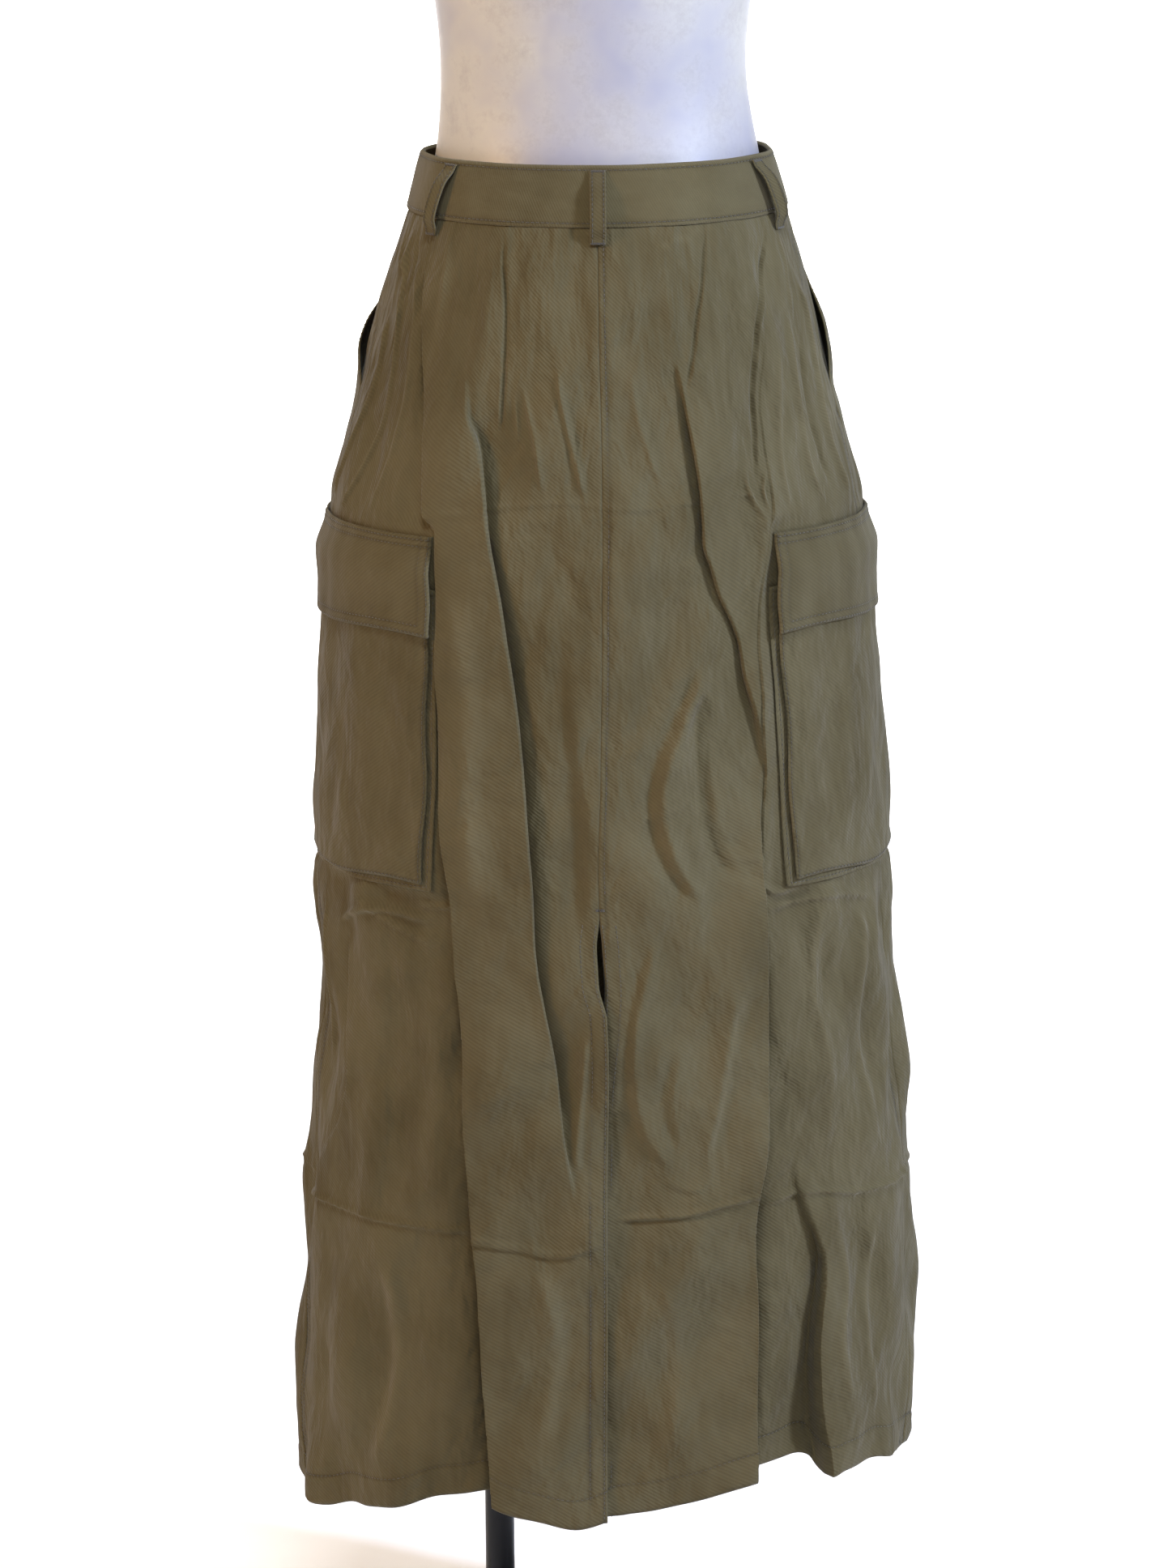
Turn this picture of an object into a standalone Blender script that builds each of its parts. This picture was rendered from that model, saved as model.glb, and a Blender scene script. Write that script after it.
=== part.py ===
"""A cargo utility skirt on a limbless dress form with a pole and a round base, in metres, +Z up.

The origin is the centre of the base plate's underside. The back of the skirt faces -Y. Angles are
in degrees round the wearer from the centre back: 0 at -Y, -90 at the wearer's left (-X), 180 at the
centre front (+Y). Every piece of cloth is a wall whose outer face is a point of the worn skirt, at
an angle and a level, moved outwards by the thickness of what lies beneath it.
"""

from collections import namedtuple
from math import pi

import bmesh
import bpy
import numpy as np
from mathutils import Matrix

# Driving sizes. Levels are heights above a datum that stands LIFT above the floor.
LIFT = 0.035
GAP = 0.0003  # between touching pieces
CLOTH = 0.0014  # one layer of cotton twill with its seams
WAIST_TOP = 1.040
WAIST_SEAM = 1.0023  # the waistband's lower edge
BAND_THICK = 0.0030
BAND_PROUD = 0.0010  # the band's face stands this far out of the panels' face
BAND_LAP = 0.0036  # how far the underlap is set in below the overlap
BAND_START, BAND_END = -184.0, 187.0  # its ends, which lap at the centre front
PANEL_TOP = WAIST_SEAM - 0.0011
SIDE_LEFT, SIDE_RIGHT = -84.0, 79.0  # the side seams
SEAM = 0.10  # half of a seam's gap, in degrees
SLIT_TOP, SLIT_MEET = 0.560, 0.483  # the slit stands open between these, and its edges lap below
SLIT_GAPE = 0.9  # how far its left edge draws back there, in degrees
SLIT_UNDER = 1.6  # how far the right edge runs under the left one, in degrees
SLIT_LAP = 0.0035  # how far the right edge lies behind the left one
MOUTH_FOOT, MOUTH_TURN, MOUTH_GAPE = 0.885, 36.0, 0.0060  # the slanted hand pockets
MOUTH_FADE = 16.0  # the gape dies away over this angle
FACING_FOOT = MOUTH_FOOT - 0.012
FACING_THICK = 0.0012
FLAP_TOP, FLAP_FOOT, FLAP_THICK = 0.803, 0.738, 0.0022
POCKET_TOP, POCKET_FOOT, POCKET_OUT = 0.772, 0.573, 0.0062
POCKET_TURN = 70.0  # the angle a cargo pocket covers
POCKET_PER_METRE = 180 / pi / 0.155  # its degrees for each metre round the hip
POCKET_BULGE = 0.0050  # the pocket's back sinks inwards by this much
GUSSET_THICK = 0.0011
LOOP_WIDTH, LOOP_THICK = 0.0105, 0.0018
BUTTON_R, BUTTON_THICK, BUTTON_RIM, BUTTON_DISH = 0.0085, 0.0030, 0.0016, 0.0007
POLE_X, POLE_R = -0.072, 0.010
BASE_R, BASE_THICK, BASE_EDGE = 0.170, 0.008, 0.002
COLLAR_TOP, COLLAR_R, COLLAR_FLANGE_R = 0.063, 0.017, 0.030
SOCKET_LONG, SOCKET_R, SOCKET_FLANGE_R = 0.040, 0.016, 0.032
FORM_FOOT, FORM_TOP = 0.765, 1.540

# The worn skirt's outer face at each level: half width, shift to +X, depth behind and in front.
Section = namedtuple("Section", "level half shift back front")
SKIRT = tuple(
    Section(*row)
    for row in (
        (0.100, 0.2100, 0.000, 0.134, 0.136),
        (0.190, 0.2095, 0.002, 0.137, 0.138),
        (0.286, 0.2065, 0.005, 0.140, 0.138),
        (0.380, 0.2015, 0.006, 0.143, 0.138),
        (0.450, 0.1945, 0.007, 0.146, 0.137),
        (0.555, 0.1915, 0.003, 0.147, 0.134),
        (0.583, 0.1875, 0.002, 0.147, 0.133),
        (0.650, 0.1815, 0.002, 0.146, 0.130),
        (0.695, 0.1788, 0.001, 0.145, 0.128),
        (0.760, 0.1745, 0.000, 0.142, 0.124),
        (0.805, 0.1768, 0.000, 0.140, 0.121),
        (0.850, 0.1665, 0.000, 0.137, 0.118),
        (0.891, 0.1555, 0.000, 0.133, 0.115),
        (0.913, 0.1500, 0.000, 0.131, 0.113),
        (0.957, 0.1385, 0.001, 0.124, 0.108),
        (1.002, 0.1250, 0.002, 0.110, 0.099),
        (1.040, 0.1140, 0.002, 0.088, 0.086),
    )
)

# The dress form, from its flat foot to the top of its neck.
FORM = tuple(
    Section(*row)
    for row in (
        (0.765, 0.1440, 0.000, 0.108, 0.094),
        (0.805, 0.1480, 0.000, 0.114, 0.098),
        (0.860, 0.1470, 0.000, 0.114, 0.098),
        (0.915, 0.1380, 0.000, 0.109, 0.095),
        (0.960, 0.1240, 0.001, 0.101, 0.089),
        (1.002, 0.1130, 0.002, 0.092, 0.083),
        (1.040, 0.1055, 0.002, 0.081, 0.076),
        (1.090, 0.1000, 0.000, 0.076, 0.078),
        (1.150, 0.1050, 0.000, 0.081, 0.089),
        (1.230, 0.1240, 0.000, 0.090, 0.106),
        (1.290, 0.1360, 0.000, 0.094, 0.108),
        (1.340, 0.1460, 0.000, 0.094, 0.094),
        (1.380, 0.1510, 0.000, 0.088, 0.076),
        (1.408, 0.1480, 0.000, 0.078, 0.064),
        (1.428, 0.1240, 0.000, 0.068, 0.057),
        (1.446, 0.0900, 0.000, 0.059, 0.052),
        (1.466, 0.0640, 0.000, 0.052, 0.050),
        (1.490, 0.0540, 0.000, 0.049, 0.049),
        (1.540, 0.0500, 0.000, 0.048, 0.048),
    )
)

# Folds of the hanging cloth. Each runs down through its levels at its angles, and steps by its rise
# from a set-back side to a proud one: proud is +1 where that is the larger angle. The crest takes a
# share of the rise, and soft and back are the widths over which the two sides die away.
Fold = namedtuple("Fold", "name levels angles rises proud crest soft edge back")
FOLDS = (
    Fold(
        "left_valley",
        (1.000, 0.937, 0.886, 0.800, 0.714, 0.570, 0.377, 0.237, 0.100),
        (-59.0, -51.0, -44.5, -38.7, -35.6, -31.6, -27.6, -23.2, -19.0),
        (0.000, 0.004, 0.006, 0.008, 0.009, 0.012, 0.018, 0.024, 0.030),
        1, 0.35, 0.030, 0.010, 0.045,
    ),
    Fold(
        "left_lap",
        (0.885, 0.838, 0.734, 0.628, 0.520, 0.409, 0.355),
        (-31.0, -25.0, -19.3, -15.4, -13.3, -9.1, -6.2),
        (0.000, 0.007, 0.009, 0.008, 0.009, 0.007, 0.000),
        -1, 0.50, 0.026, 0.006, 0.026,
    ),
    Fold(
        "right_lap",
        (0.905, 0.838, 0.796, 0.757, 0.736, 0.645),
        (20.5, 22.7, 22.9, 29.0, 31.1, 36.0),
        (0.000, 0.005, 0.006, 0.006, 0.005, 0.000),
        1, 0.50, 0.024, 0.006, 0.024,
    ),
    Fold(
        "right_pocket_valley",
        (0.930, 0.833, 0.770, 0.650, 0.570),
        (50.0, 41.0, 37.5, 35.5, 33.5),
        (0.000, 0.005, 0.006, 0.006, 0.000),
        1, 0.35, 0.012, 0.008, 0.030,
    ),
    Fold(
        "right_valley",
        (0.630, 0.568, 0.375, 0.291, 0.182, 0.100),
        (33.5, 33.0, 29.3, 27.8, 27.7, 27.5),
        (0.000, 0.010, 0.013, 0.015, 0.022, 0.026),
        -1, 0.30, 0.036, 0.008, 0.036,
    ),
    Fold(
        "right_return",
        (0.370, 0.306, 0.261, 0.203, 0.100),
        (38.0, 43.5, 42.0, 42.7, 45.0),
        (0.000, 0.007, 0.010, 0.014, 0.018),
        1, 0.50, 0.028, 0.008, 0.026,
    ),
    Fold(
        "left_side_lap",
        (0.530, 0.470, 0.416, 0.350),
        (-64.0, -63.0, -62.5, -76.0),
        (0.000, 0.006, 0.006, 0.000),
        1, 0.40, 0.030, 0.008, 0.026,
    ),
    Fold(
        "front_left_valley",
        (0.930, 0.800, 0.560, 0.300, 0.100),
        (-137.0, -141.0, -145.0, -149.0, -152.0),
        (0.000, 0.005, 0.011, 0.017, 0.023),
        -1, 0.40, 0.034, 0.010, 0.040,
    ),
    Fold(
        "front_left_side_valley",
        (0.520, 0.400, 0.250, 0.100),
        (-112.0, -115.0, -113.0, -117.0),
        (0.000, 0.008, 0.012, 0.015),
        1, 0.40, 0.030, 0.010, 0.034,
    ),
    Fold(
        "front_right_valley",
        (0.900, 0.760, 0.520, 0.280, 0.100),
        (143.0, 147.0, 151.0, 153.0, 158.0),
        (0.000, 0.006, 0.010, 0.018, 0.024),
        1, 0.40, 0.032, 0.010, 0.042,
    ),
    Fold(
        "front_right_side_valley",
        (0.540, 0.380, 0.230, 0.100),
        (118.0, 120.0, 117.0, 121.0),
        (0.000, 0.009, 0.012, 0.016),
        -1, 0.40, 0.030, 0.010, 0.036,
    ),
)

# The hem's level round the skirt: it drops at the slit and lifts where the deep folds draw it in.
HEM_ANGLES = (-180, -150, -90, -60, -33, -21, -14, 0, 3, 12, 27, 36, 43, 50, 80, 150, 180)
HEM_LEVELS = (
    0.142, 0.139, 0.126, 0.136, 0.146, 0.149, 0.140, 0.137,
    0.145, 0.151, 0.160, 0.167, 0.166, 0.157, 0.150, 0.144, 0.142,
)

# A belt loop's outer face from its top end to its foot below the band: level, and distance out.
LOOP_PATH = (
    (1.0375, 0.0035),
    (1.0335, 0.0046),
    (1.0270, 0.0088),
    (1.0190, 0.0100),
    (1.0110, 0.0100),
    (1.0030, 0.0088),
    (0.9965, 0.0044),
    (0.9925, 0.0025),
)
Loop = namedtuple("Loop", "name top foot")
LOOPS = (
    Loop("belt_loop_back_centre", 0.0, 0.0),
    Loop("belt_loop_back_left", -53.5, -56.5),
    Loop("belt_loop_back_right", 61.5, 66.0),
    Loop("belt_loop_front_left", -141.0, -140.0),
    Loop("belt_loop_front_right", 139.0, 140.0),
)
Pocket = namedtuple("Pocket", "side back_edge flap_back")
POCKETS = (Pocket("left", -38.0, -36.8), Pocket("right", 41.0, 40.0))

# The gusset's profile, from the edge sewn to the skirt, in to its fold and back to the patch: how
# far it is set in from the pocket's edge, and its distance out from the worn cloth.
GUSSET = ((-0.0050, 0.0022), (0.0090, 0.0022), (0.0086, 0.0030), (0.0012, 0.0030))

SIDES = (("left", SIDE_LEFT), ("right", SIDE_RIGHT))

COLLECTION = "cargo_utility_skirt"
# Each finish's colour, roughness and metallic share.
FINISHES = {
    "olive twill": ((0.130, 0.106, 0.060, 1.0), 0.85, 0.0),
    "horn button": ((0.055, 0.042, 0.026, 1.0), 0.35, 0.0),
    "pearl white gloss": ((0.780, 0.770, 0.750, 1.0), 0.28, 0.0),
    "black steel": ((0.012, 0.012, 0.013, 1.0), 0.35, 0.6),
}


def clear_scene():
    """Removes what the scene starts with."""
    for obj in list(bpy.data.objects):
        bpy.data.objects.remove(obj)


def sided(u, side_seam):
    """u from the side seam outwards on both sides, so that every grid faces out."""
    return u if side_seam > 0 else 1.0 - u


def ease(value, start, end):
    """0 at start and 1 at end, with a level slope at both."""
    t = np.clip((value - start) / (end - start), 0.0, 1.0)
    return t * t * (3.0 - 2.0 * t)


def through(at, knots, values):
    """A smooth curve through the values at rising knots: cubic pieces with averaged slopes."""
    knots, values = np.asarray(knots, float), np.asarray(values, float)
    slopes = np.gradient(values, knots)
    at = np.clip(at, knots[0], knots[-1])
    k = np.clip(np.searchsorted(knots, at, side="right") - 1, 0, len(knots) - 2)
    step = knots[k + 1] - knots[k]
    t = (at - knots[k]) / step
    return (
        values[k] * (1 + 2 * t) * (1 - t) ** 2
        + values[k + 1] * t * t * (3 - 2 * t)
        + step * slopes[k] * t * (1 - t) ** 2
        - step * slopes[k + 1] * t * t * (1 - t)
    )


def section(table, level):
    """Half width, shift, and the depths behind and in front, at a level."""
    levels = [row.level for row in table]
    names = ("half", "shift", "back", "front")
    return [through(level, levels, [getattr(row, name) for row in table]) for name in names]


def in_pocket(angle, level, start, full, top):
    """1 well inside a cargo pocket and 0 outside: it rises from start to full metres in from the
    pocket's sides and foot, and from top down over the same distance."""
    inside = 0.0
    for pocket in POCKETS:
        turn = (angle - pocket.back_edge) * np.sign(pocket.back_edge)
        near = np.minimum(turn, POCKET_TURN - turn) / POCKET_PER_METRE
        inside = inside + ease(near, start, full)
    return inside * ease(level, POCKET_FOOT + start, POCKET_FOOT + full) * ease(top - level, start, full)


def fold_rise(angle, level):
    """How far the folds move the cloth outwards. Beneath a cargo pocket they are pressed flat."""
    half, _, back, _ = section(SKIRT, level)
    total = np.zeros(np.broadcast(angle, level).shape)
    for fold in FOLDS:
        levels = fold.levels[::-1]
        path = through(level, levels, fold.angles[::-1])
        rise = np.interp(level, levels, fold.rises[::-1])
        away = (path - angle) * fold.proud * (half + back) / 2 * pi / 180
        crest, drop = fold.crest * rise, (1.0 - fold.crest) * rise
        proud_side = crest * np.exp(-((np.abs(away) / fold.soft) ** 1.5))
        set_back = rise * np.exp(-((away / fold.edge) ** 2))
        set_back = set_back - drop * np.exp(-((np.abs(away) / fold.back) ** 1.5))
        total += np.where(away < 0, proud_side, set_back)
    return total * (1.0 - in_pocket(angle, level, -0.030, -0.007, FLAP_TOP))


def ellipse(angle, level, out=0.0, table=SKIRT):
    """Points of the sections' ellipse at each angle and level, moved outwards by out."""
    angle, level = np.broadcast_arrays(angle, level)
    half, shift, back, front = section(table, level)
    turn = np.radians(angle)
    depth = np.where(np.cos(turn) > 0, back, front)
    normal = np.stack([np.sin(turn) / half, -np.cos(turn) / depth])
    normal /= np.hypot(*normal)
    x = shift + half * np.sin(turn) + out * normal[0]
    y = -depth * np.cos(turn) + out * normal[1]
    return np.stack([x, y, level + LIFT], axis=-1)


def worn(angle, level, out=0.0):
    """Points of the worn cloth: the ellipse, moved outwards by the folds and by out."""
    return ellipse(angle, level, fold_rise(angle, level) + out)


def panel(angle, level, out=0.0):
    """Points of a panel's face: the worn cloth, which sinks in behind the cargo pockets."""
    sink = POCKET_BULGE * in_pocket(angle, level, 0.012, 0.034, POCKET_TOP)
    return worn(angle, level, out - sink)


def hem_level(angle):
    return through(angle, HEM_ANGLES, HEM_LEVELS)


def finish_of(name):
    """The Principled material of that name, made once."""
    material = bpy.data.materials.get(name)
    if material is None:
        material = bpy.data.materials.new(name)
        material.use_nodes = True
        colour, rough, metal = FINISHES[name]
        shader = material.node_tree.nodes["Principled BSDF"]
        shader.inputs["Base Color"].default_value = colour
        shader.inputs["Roughness"].default_value = rough
        shader.inputs["Metallic"].default_value = metal
    return material


def add_object(name, bm, finish, smooth=True):
    """Puts a bmesh into the skirt's collection as an object with its own material."""
    mesh = bpy.data.meshes.new(name)
    bm.to_mesh(mesh)
    bm.free()
    if smooth:
        mesh.shade_smooth()
        mesh.set_sharp_from_angle(angle=pi / 5)
    obj = bpy.data.objects.new(name, mesh)
    obj.data.materials.append(finish_of(finish))
    bpy.data.collections[COLLECTION].objects.link(obj)
    return obj


def cloth_piece(name, across, down, place, thick=CLOTH, finish="olive twill"):
    """A wall of cloth: a grid put in place by place(u, v), u across and v upwards from 0 to 1, with
    the wall's thickness on its inner side."""
    bm = bmesh.new()
    bmesh.ops.create_grid(bm, x_segments=across, y_segments=down, size=0.5)
    grid = np.array([v.co for v in bm.verts]) + 0.5
    for vert, point in zip(bm.verts, place(grid[:, 0], grid[:, 1])):
        vert.co = point
    obj = add_object(name, bm, finish)
    wall = obj.modifiers.new("wall", "SOLIDIFY")
    wall.thickness = thick
    wall.offset = -1.0
    return obj


def mouth_edge(side_seam, level):
    """The front panel's edge: the side seam, then a slant forward as the hand pocket's mouth."""
    slant = np.clip((level - MOUTH_FOOT) / (PANEL_TOP - MOUTH_FOOT), 0.0, 1.0)
    return side_seam + np.sign(side_seam) * (SEAM + MOUTH_TURN * slant**1.4)


def mouth_out(side_seam, angle, level):
    """How far the front panel stands out at the hand pocket's mouth, dying away from its edge."""
    from_edge = np.abs(angle - mouth_edge(side_seam, level))
    along = ease(level, MOUTH_FOOT - 0.010, 0.915) * (1.0 - ease(level, 0.935, 0.990))
    return MOUTH_GAPE * along * np.exp(-((from_edge / MOUTH_FADE) ** 2))


def slit_shift(angle, level, out):
    """Moves the cloth by out beside the slit, below its top, and less with distance from it."""
    below = 1.0 - ease(level, 0.490, SLIT_TOP - 0.010)
    return out * below * np.exp(-((angle / 12.0) ** 2))


def back_edge(v, side_seam):
    """The back panel's centre edge: the seam, then the slit, open at its top and lapped below."""
    foot = hem_level(0.0)
    level = foot + (PANEL_TOP - foot) * v
    if side_seam > 0:
        return SEAM - SLIT_UNDER * (1.0 - ease(level, 0.396, 0.500))
    gape = ease(level, SLIT_MEET, SLIT_TOP - 0.008) * (1.0 - ease(level, SLIT_TOP - 0.008, 0.565))
    over = 1.0 - ease(level, 0.396, 0.586)
    return -SEAM - SLIT_GAPE * gape + 0.3 * over


def back_panels():
    """The two back panels meet in the centre seam. Below the slit the left edge laps the right one."""
    for side, side_seam in SIDES:
        nearest = 3.0 if side_seam > 0 else 0.0  # the hem steps at the slit
        out = 0.0010 if side_seam < 0 else -SLIT_LAP

        def place(u, v, side_seam=side_seam, nearest=nearest, out=out):
            start = side_seam - np.sign(side_seam) * SEAM
            angle = start + (back_edge(v, side_seam) - start) * sided(1.0 - u, side_seam)
            foot = hem_level(np.sign(side_seam) * np.maximum(np.abs(angle), nearest))
            level = foot + (PANEL_TOP - foot) * v
            return panel(angle, level, slit_shift(angle, level, out))

        cloth_piece(f"back_panel_{side}", 18, 20, place)


def front_panels():
    """The front panels meet in the centre front seam, and their slanted edges are pocket mouths."""
    for side, side_seam in SIDES:
        centre = np.sign(side_seam) * (180.0 - SEAM)

        def place(u, v, side_seam=side_seam, centre=centre):
            u = sided(u, side_seam)
            foot = hem_level(side_seam + (centre - side_seam) * u)
            level = foot + (PANEL_TOP - foot) * v
            edge = mouth_edge(side_seam, level)
            angle = edge + (centre - edge) * u
            return panel(angle, level, mouth_out(side_seam, angle, level))

        cloth_piece(f"front_panel_{side}", 14, 20, place)


def pocket_facings():
    """The facing that shows in each hand pocket's mouth. It lies behind both panels."""
    behind = CLOTH + FACING_THICK + 0.0010
    for side, side_seam in SIDES:

        def place(u, v, side_seam=side_seam):
            sign = np.sign(side_seam)
            level = FACING_FOOT + (PANEL_TOP - FACING_FOOT) * v
            start = side_seam - 2.0 * sign
            far = mouth_edge(side_seam, level) + 9.0 * sign
            return worn(start + (far - start) * sided(u, side_seam), level, -behind)

        cloth_piece(f"pocket_facing_{side}", 7, 7, place, thick=FACING_THICK)


def waistband():
    """One strip, lapped at the centre front: its underlap starts inside, its overlap ends outside."""

    def place(u, v):
        angle = BAND_START + (BAND_END - BAND_START) * u
        lap = BAND_LAP * (1.0 - ease(angle, BAND_START + 10.0, BAND_START + 20.0))
        level = WAIST_SEAM + (WAIST_TOP - WAIST_SEAM) * v
        return ellipse(angle, level, BAND_PROUD - lap)

    cloth_piece("waistband", 66, 2, place, thick=BAND_THICK)


def waist_button():
    """A flat sewn-on button with a raised rim, on the overlap at the centre front."""
    angle, level = 182.0, (WAIST_TOP + WAIST_SEAM) / 2
    seat = ellipse(angle, level, BAND_PROUD + GAP)
    up = ellipse(angle, level + 0.01) - ellipse(angle, level - 0.01)
    lean = np.arctan2(-up[1], up[2])
    turn = Matrix.Translation(seat) @ Matrix.Rotation(lean - pi / 2, 4, "X")
    bm = bmesh.new()
    bmesh.ops.create_cone(
        bm, cap_ends=True, segments=24, radius1=BUTTON_R, radius2=BUTTON_R, depth=BUTTON_THICK
    )
    top = [face for face in bm.faces if face.normal.z > 0.9]
    bmesh.ops.inset_region(bm, faces=top, thickness=BUTTON_RIM)
    bmesh.ops.translate(bm, verts=top[0].verts, vec=(0, 0, -BUTTON_DISH))
    bmesh.ops.translate(bm, verts=bm.verts, vec=(0, 0, BUTTON_THICK / 2 + GAP))
    bmesh.ops.transform(bm, matrix=turn, verts=bm.verts)
    add_object("waist_button", bm, "horn button")


def belt_loops():
    """Five strips sewn to the band's top and just below it, standing off the band between."""
    levels, outs = np.array(LOOP_PATH).T
    for loop in LOOPS:

        def place(u, v, loop=loop):
            level = np.interp(v, np.linspace(0, 1, len(levels)), levels[::-1])
            out = np.interp(v, np.linspace(0, 1, len(outs)), outs[::-1])
            middle = loop.foot + (loop.top - loop.foot) * v
            centre = ellipse(middle, level, out)
            ahead = ellipse(middle + 1.0, level, out) - centre
            ahead /= np.linalg.norm(ahead, axis=1, keepdims=True)
            return centre + ahead * ((u - 0.5) * LOOP_WIDTH)[:, None]

        cloth_piece(loop.name, 2, len(LOOP_PATH) - 1, place, thick=LOOP_THICK)


def cargo_patch(pocket):
    """The pocket's patch, which stands off the skirt."""

    def place(u, v):
        level = POCKET_FOOT + (POCKET_TOP - POCKET_FOOT) * v
        sign = np.sign(pocket.back_edge)
        angle = pocket.back_edge + sign * POCKET_TURN * sided(u, sign)
        return worn(angle, level, POCKET_OUT)

    cloth_piece(f"cargo_pocket_{pocket.side}", 10, 8, place)


def cargo_gusset(pocket):
    """The folded strip down one side of the pocket, along its foot and up the other side."""
    profile = np.array(GUSSET)
    rows = np.linspace(0.0, 1.0, len(profile))
    width = POCKET_TURN / POCKET_PER_METRE
    top = POCKET_TOP - 0.004

    def place(u, v):
        sign = np.sign(pocket.back_edge)
        inset = np.interp(v, rows, profile[:, 0])
        out = np.interp(v, rows, profile[:, 1])
        run = sided(u, sign) * 3.0
        along = inset + np.clip(run - 1.0, 0.0, 1.0) * (width - 2 * inset)
        drop = np.clip(run, 0.0, 1.0) - np.clip(run - 2.0, 0.0, 1.0)
        level = top - drop * (top - POCKET_FOOT - inset)
        return worn(pocket.back_edge + sign * along * POCKET_PER_METRE, level, out)

    cloth_piece(f"cargo_gusset_{pocket.side}", 24, 3, place, thick=GUSSET_THICK)


def cargo_flap(pocket):
    """The flap, sewn to the skirt along its top edge. It rises over the patch and hangs past it."""

    def place(u, v):
        sign = np.sign(pocket.back_edge)
        level = FLAP_FOOT + (FLAP_TOP - FLAP_FOOT) * v
        far = pocket.back_edge + sign * (POCKET_TURN + 1.0)
        angle = pocket.flap_back + (far - pocket.flap_back) * sided(u, sign)
        low, high = FLAP_THICK + 0.0008, POCKET_OUT + FLAP_THICK + 0.0012
        return worn(angle, level, low + (high - low) * (1.0 - ease(v, 0.60, 0.97)))

    cloth_piece(f"cargo_flap_{pocket.side}", 9, 6, place, thick=FLAP_THICK)


def dress_form():
    """A smooth torso with no arms, head or legs: a sphere's rings set to the sections, with a few
    rings at each end drawn in to close its flat foot and neck."""
    bm = bmesh.new()
    bmesh.ops.create_uvsphere(bm, u_segments=32, v_segments=30, radius=1.0)
    co = np.array([v.co for v in bm.verts])
    turn = np.degrees(np.arctan2(co[:, 0], -co[:, 1]))
    share = 1.0 - np.arccos(np.clip(co[:, 2], -1.0, 1.0)) / pi
    closing = 0.10  # the share of the rings that closes each end
    level = FORM_FOOT + (FORM_TOP - FORM_FOOT) * np.interp(share, (closing, 1.0 - closing), (0.0, 1.0))
    points = ellipse(turn, level, table=FORM)
    grown = np.clip(np.minimum(share, 1.0 - share) / closing, 0.0, 1.0)
    points[:, :2] *= np.sqrt(grown * (2.0 - grown))[:, None]
    for vert, point in zip(bm.verts, points):
        vert.co = point
    add_object("dress_form", bm, "pearl white gloss")


def turned(name, x, profile, finish, steps=40):
    """A turned piece on a vertical axis at x: (radius, level) from its top down its outer side."""
    mesh = bpy.data.meshes.new(name)
    points = [(radius, 0.0, level) for radius, level in profile]
    closed = profile[0][0] > 0
    edges = [(i, i + 1) for i in range(len(points) - 1)]
    if closed:
        edges.append((len(points) - 1, 0))
    mesh.from_pydata(points, edges, [])
    obj = bpy.data.objects.new(name, mesh)
    obj.location.x = x
    obj.data.materials.append(finish_of(finish))
    bpy.data.collections[COLLECTION].objects.link(obj)
    screw = obj.modifiers.new("turn", "SCREW")
    screw.steps = screw.render_steps = steps
    screw.use_merge_vertices = True
    screw.merge_threshold = 0.00005
    return obj


def base():
    """A round plate and the collar that holds the pole."""
    rest = BASE_THICK + GAP
    hole = POLE_R + GAP
    plate = (
        (0.0, BASE_THICK),
        (BASE_R - BASE_EDGE, BASE_THICK),
        (BASE_R, BASE_THICK - BASE_EDGE),
        (BASE_R, 0.0),
        (0.0, 0.0),
    )
    collar = (
        (hole, COLLAR_TOP),
        (COLLAR_R - 0.001, COLLAR_TOP),
        (COLLAR_R, COLLAR_TOP - 0.002),
        (COLLAR_R, BASE_THICK + 0.010),
        (COLLAR_FLANGE_R, BASE_THICK + 0.006),
        (COLLAR_FLANGE_R, rest),
        (hole, rest),
    )
    turned("base_plate", 0.0, plate, "black steel", steps=56)
    turned("base_collar", POLE_X, collar, "black steel", steps=28)


def pole():
    """The pole, and the flanged socket that holds the form's foot on it."""
    hole = POLE_R + GAP
    foot = FORM_FOOT + LIFT
    top = foot - GAP
    rod = ((0.0, top), (POLE_R, top), (POLE_R, BASE_THICK + GAP), (0.0, BASE_THICK + GAP))
    socket = (
        (hole, top),
        (SOCKET_FLANGE_R, top),
        (SOCKET_FLANGE_R, foot - 0.005),
        (SOCKET_R, foot - 0.007),
        (SOCKET_R, foot - SOCKET_LONG),
        (hole, foot - SOCKET_LONG),
    )
    turned("stand_pole", POLE_X, rod, "black steel", steps=24)
    turned("form_socket", POLE_X, socket, "black steel", steps=28)


clear_scene()
bpy.context.scene.collection.children.link(bpy.data.collections.new(COLLECTION))
back_panels()
front_panels()
pocket_facings()
waistband()
waist_button()
belt_loops()
for pocket in POCKETS:
    cargo_patch(pocket)
    cargo_gusset(pocket)
    cargo_flap(pocket)
dress_form()
pole()
base()
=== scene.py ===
"""A long cargo utility skirt worn on a limbless dress form on a stand, in metres, +Z up.

The back of the skirt faces -Y. Angles are in degrees round the wearer from the centre back: 0 at -Y,
-90 at the wearer's left (-X), 180 at the centre front. A level is a height above a datum that stands
LIFT above the floor. Every piece of cloth is a thin shell whose face is a point of the worn skirt,
at an angle and a level, moved outwards by what lies beneath it.
"""

from collections import namedtuple
from math import pi, radians

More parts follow.
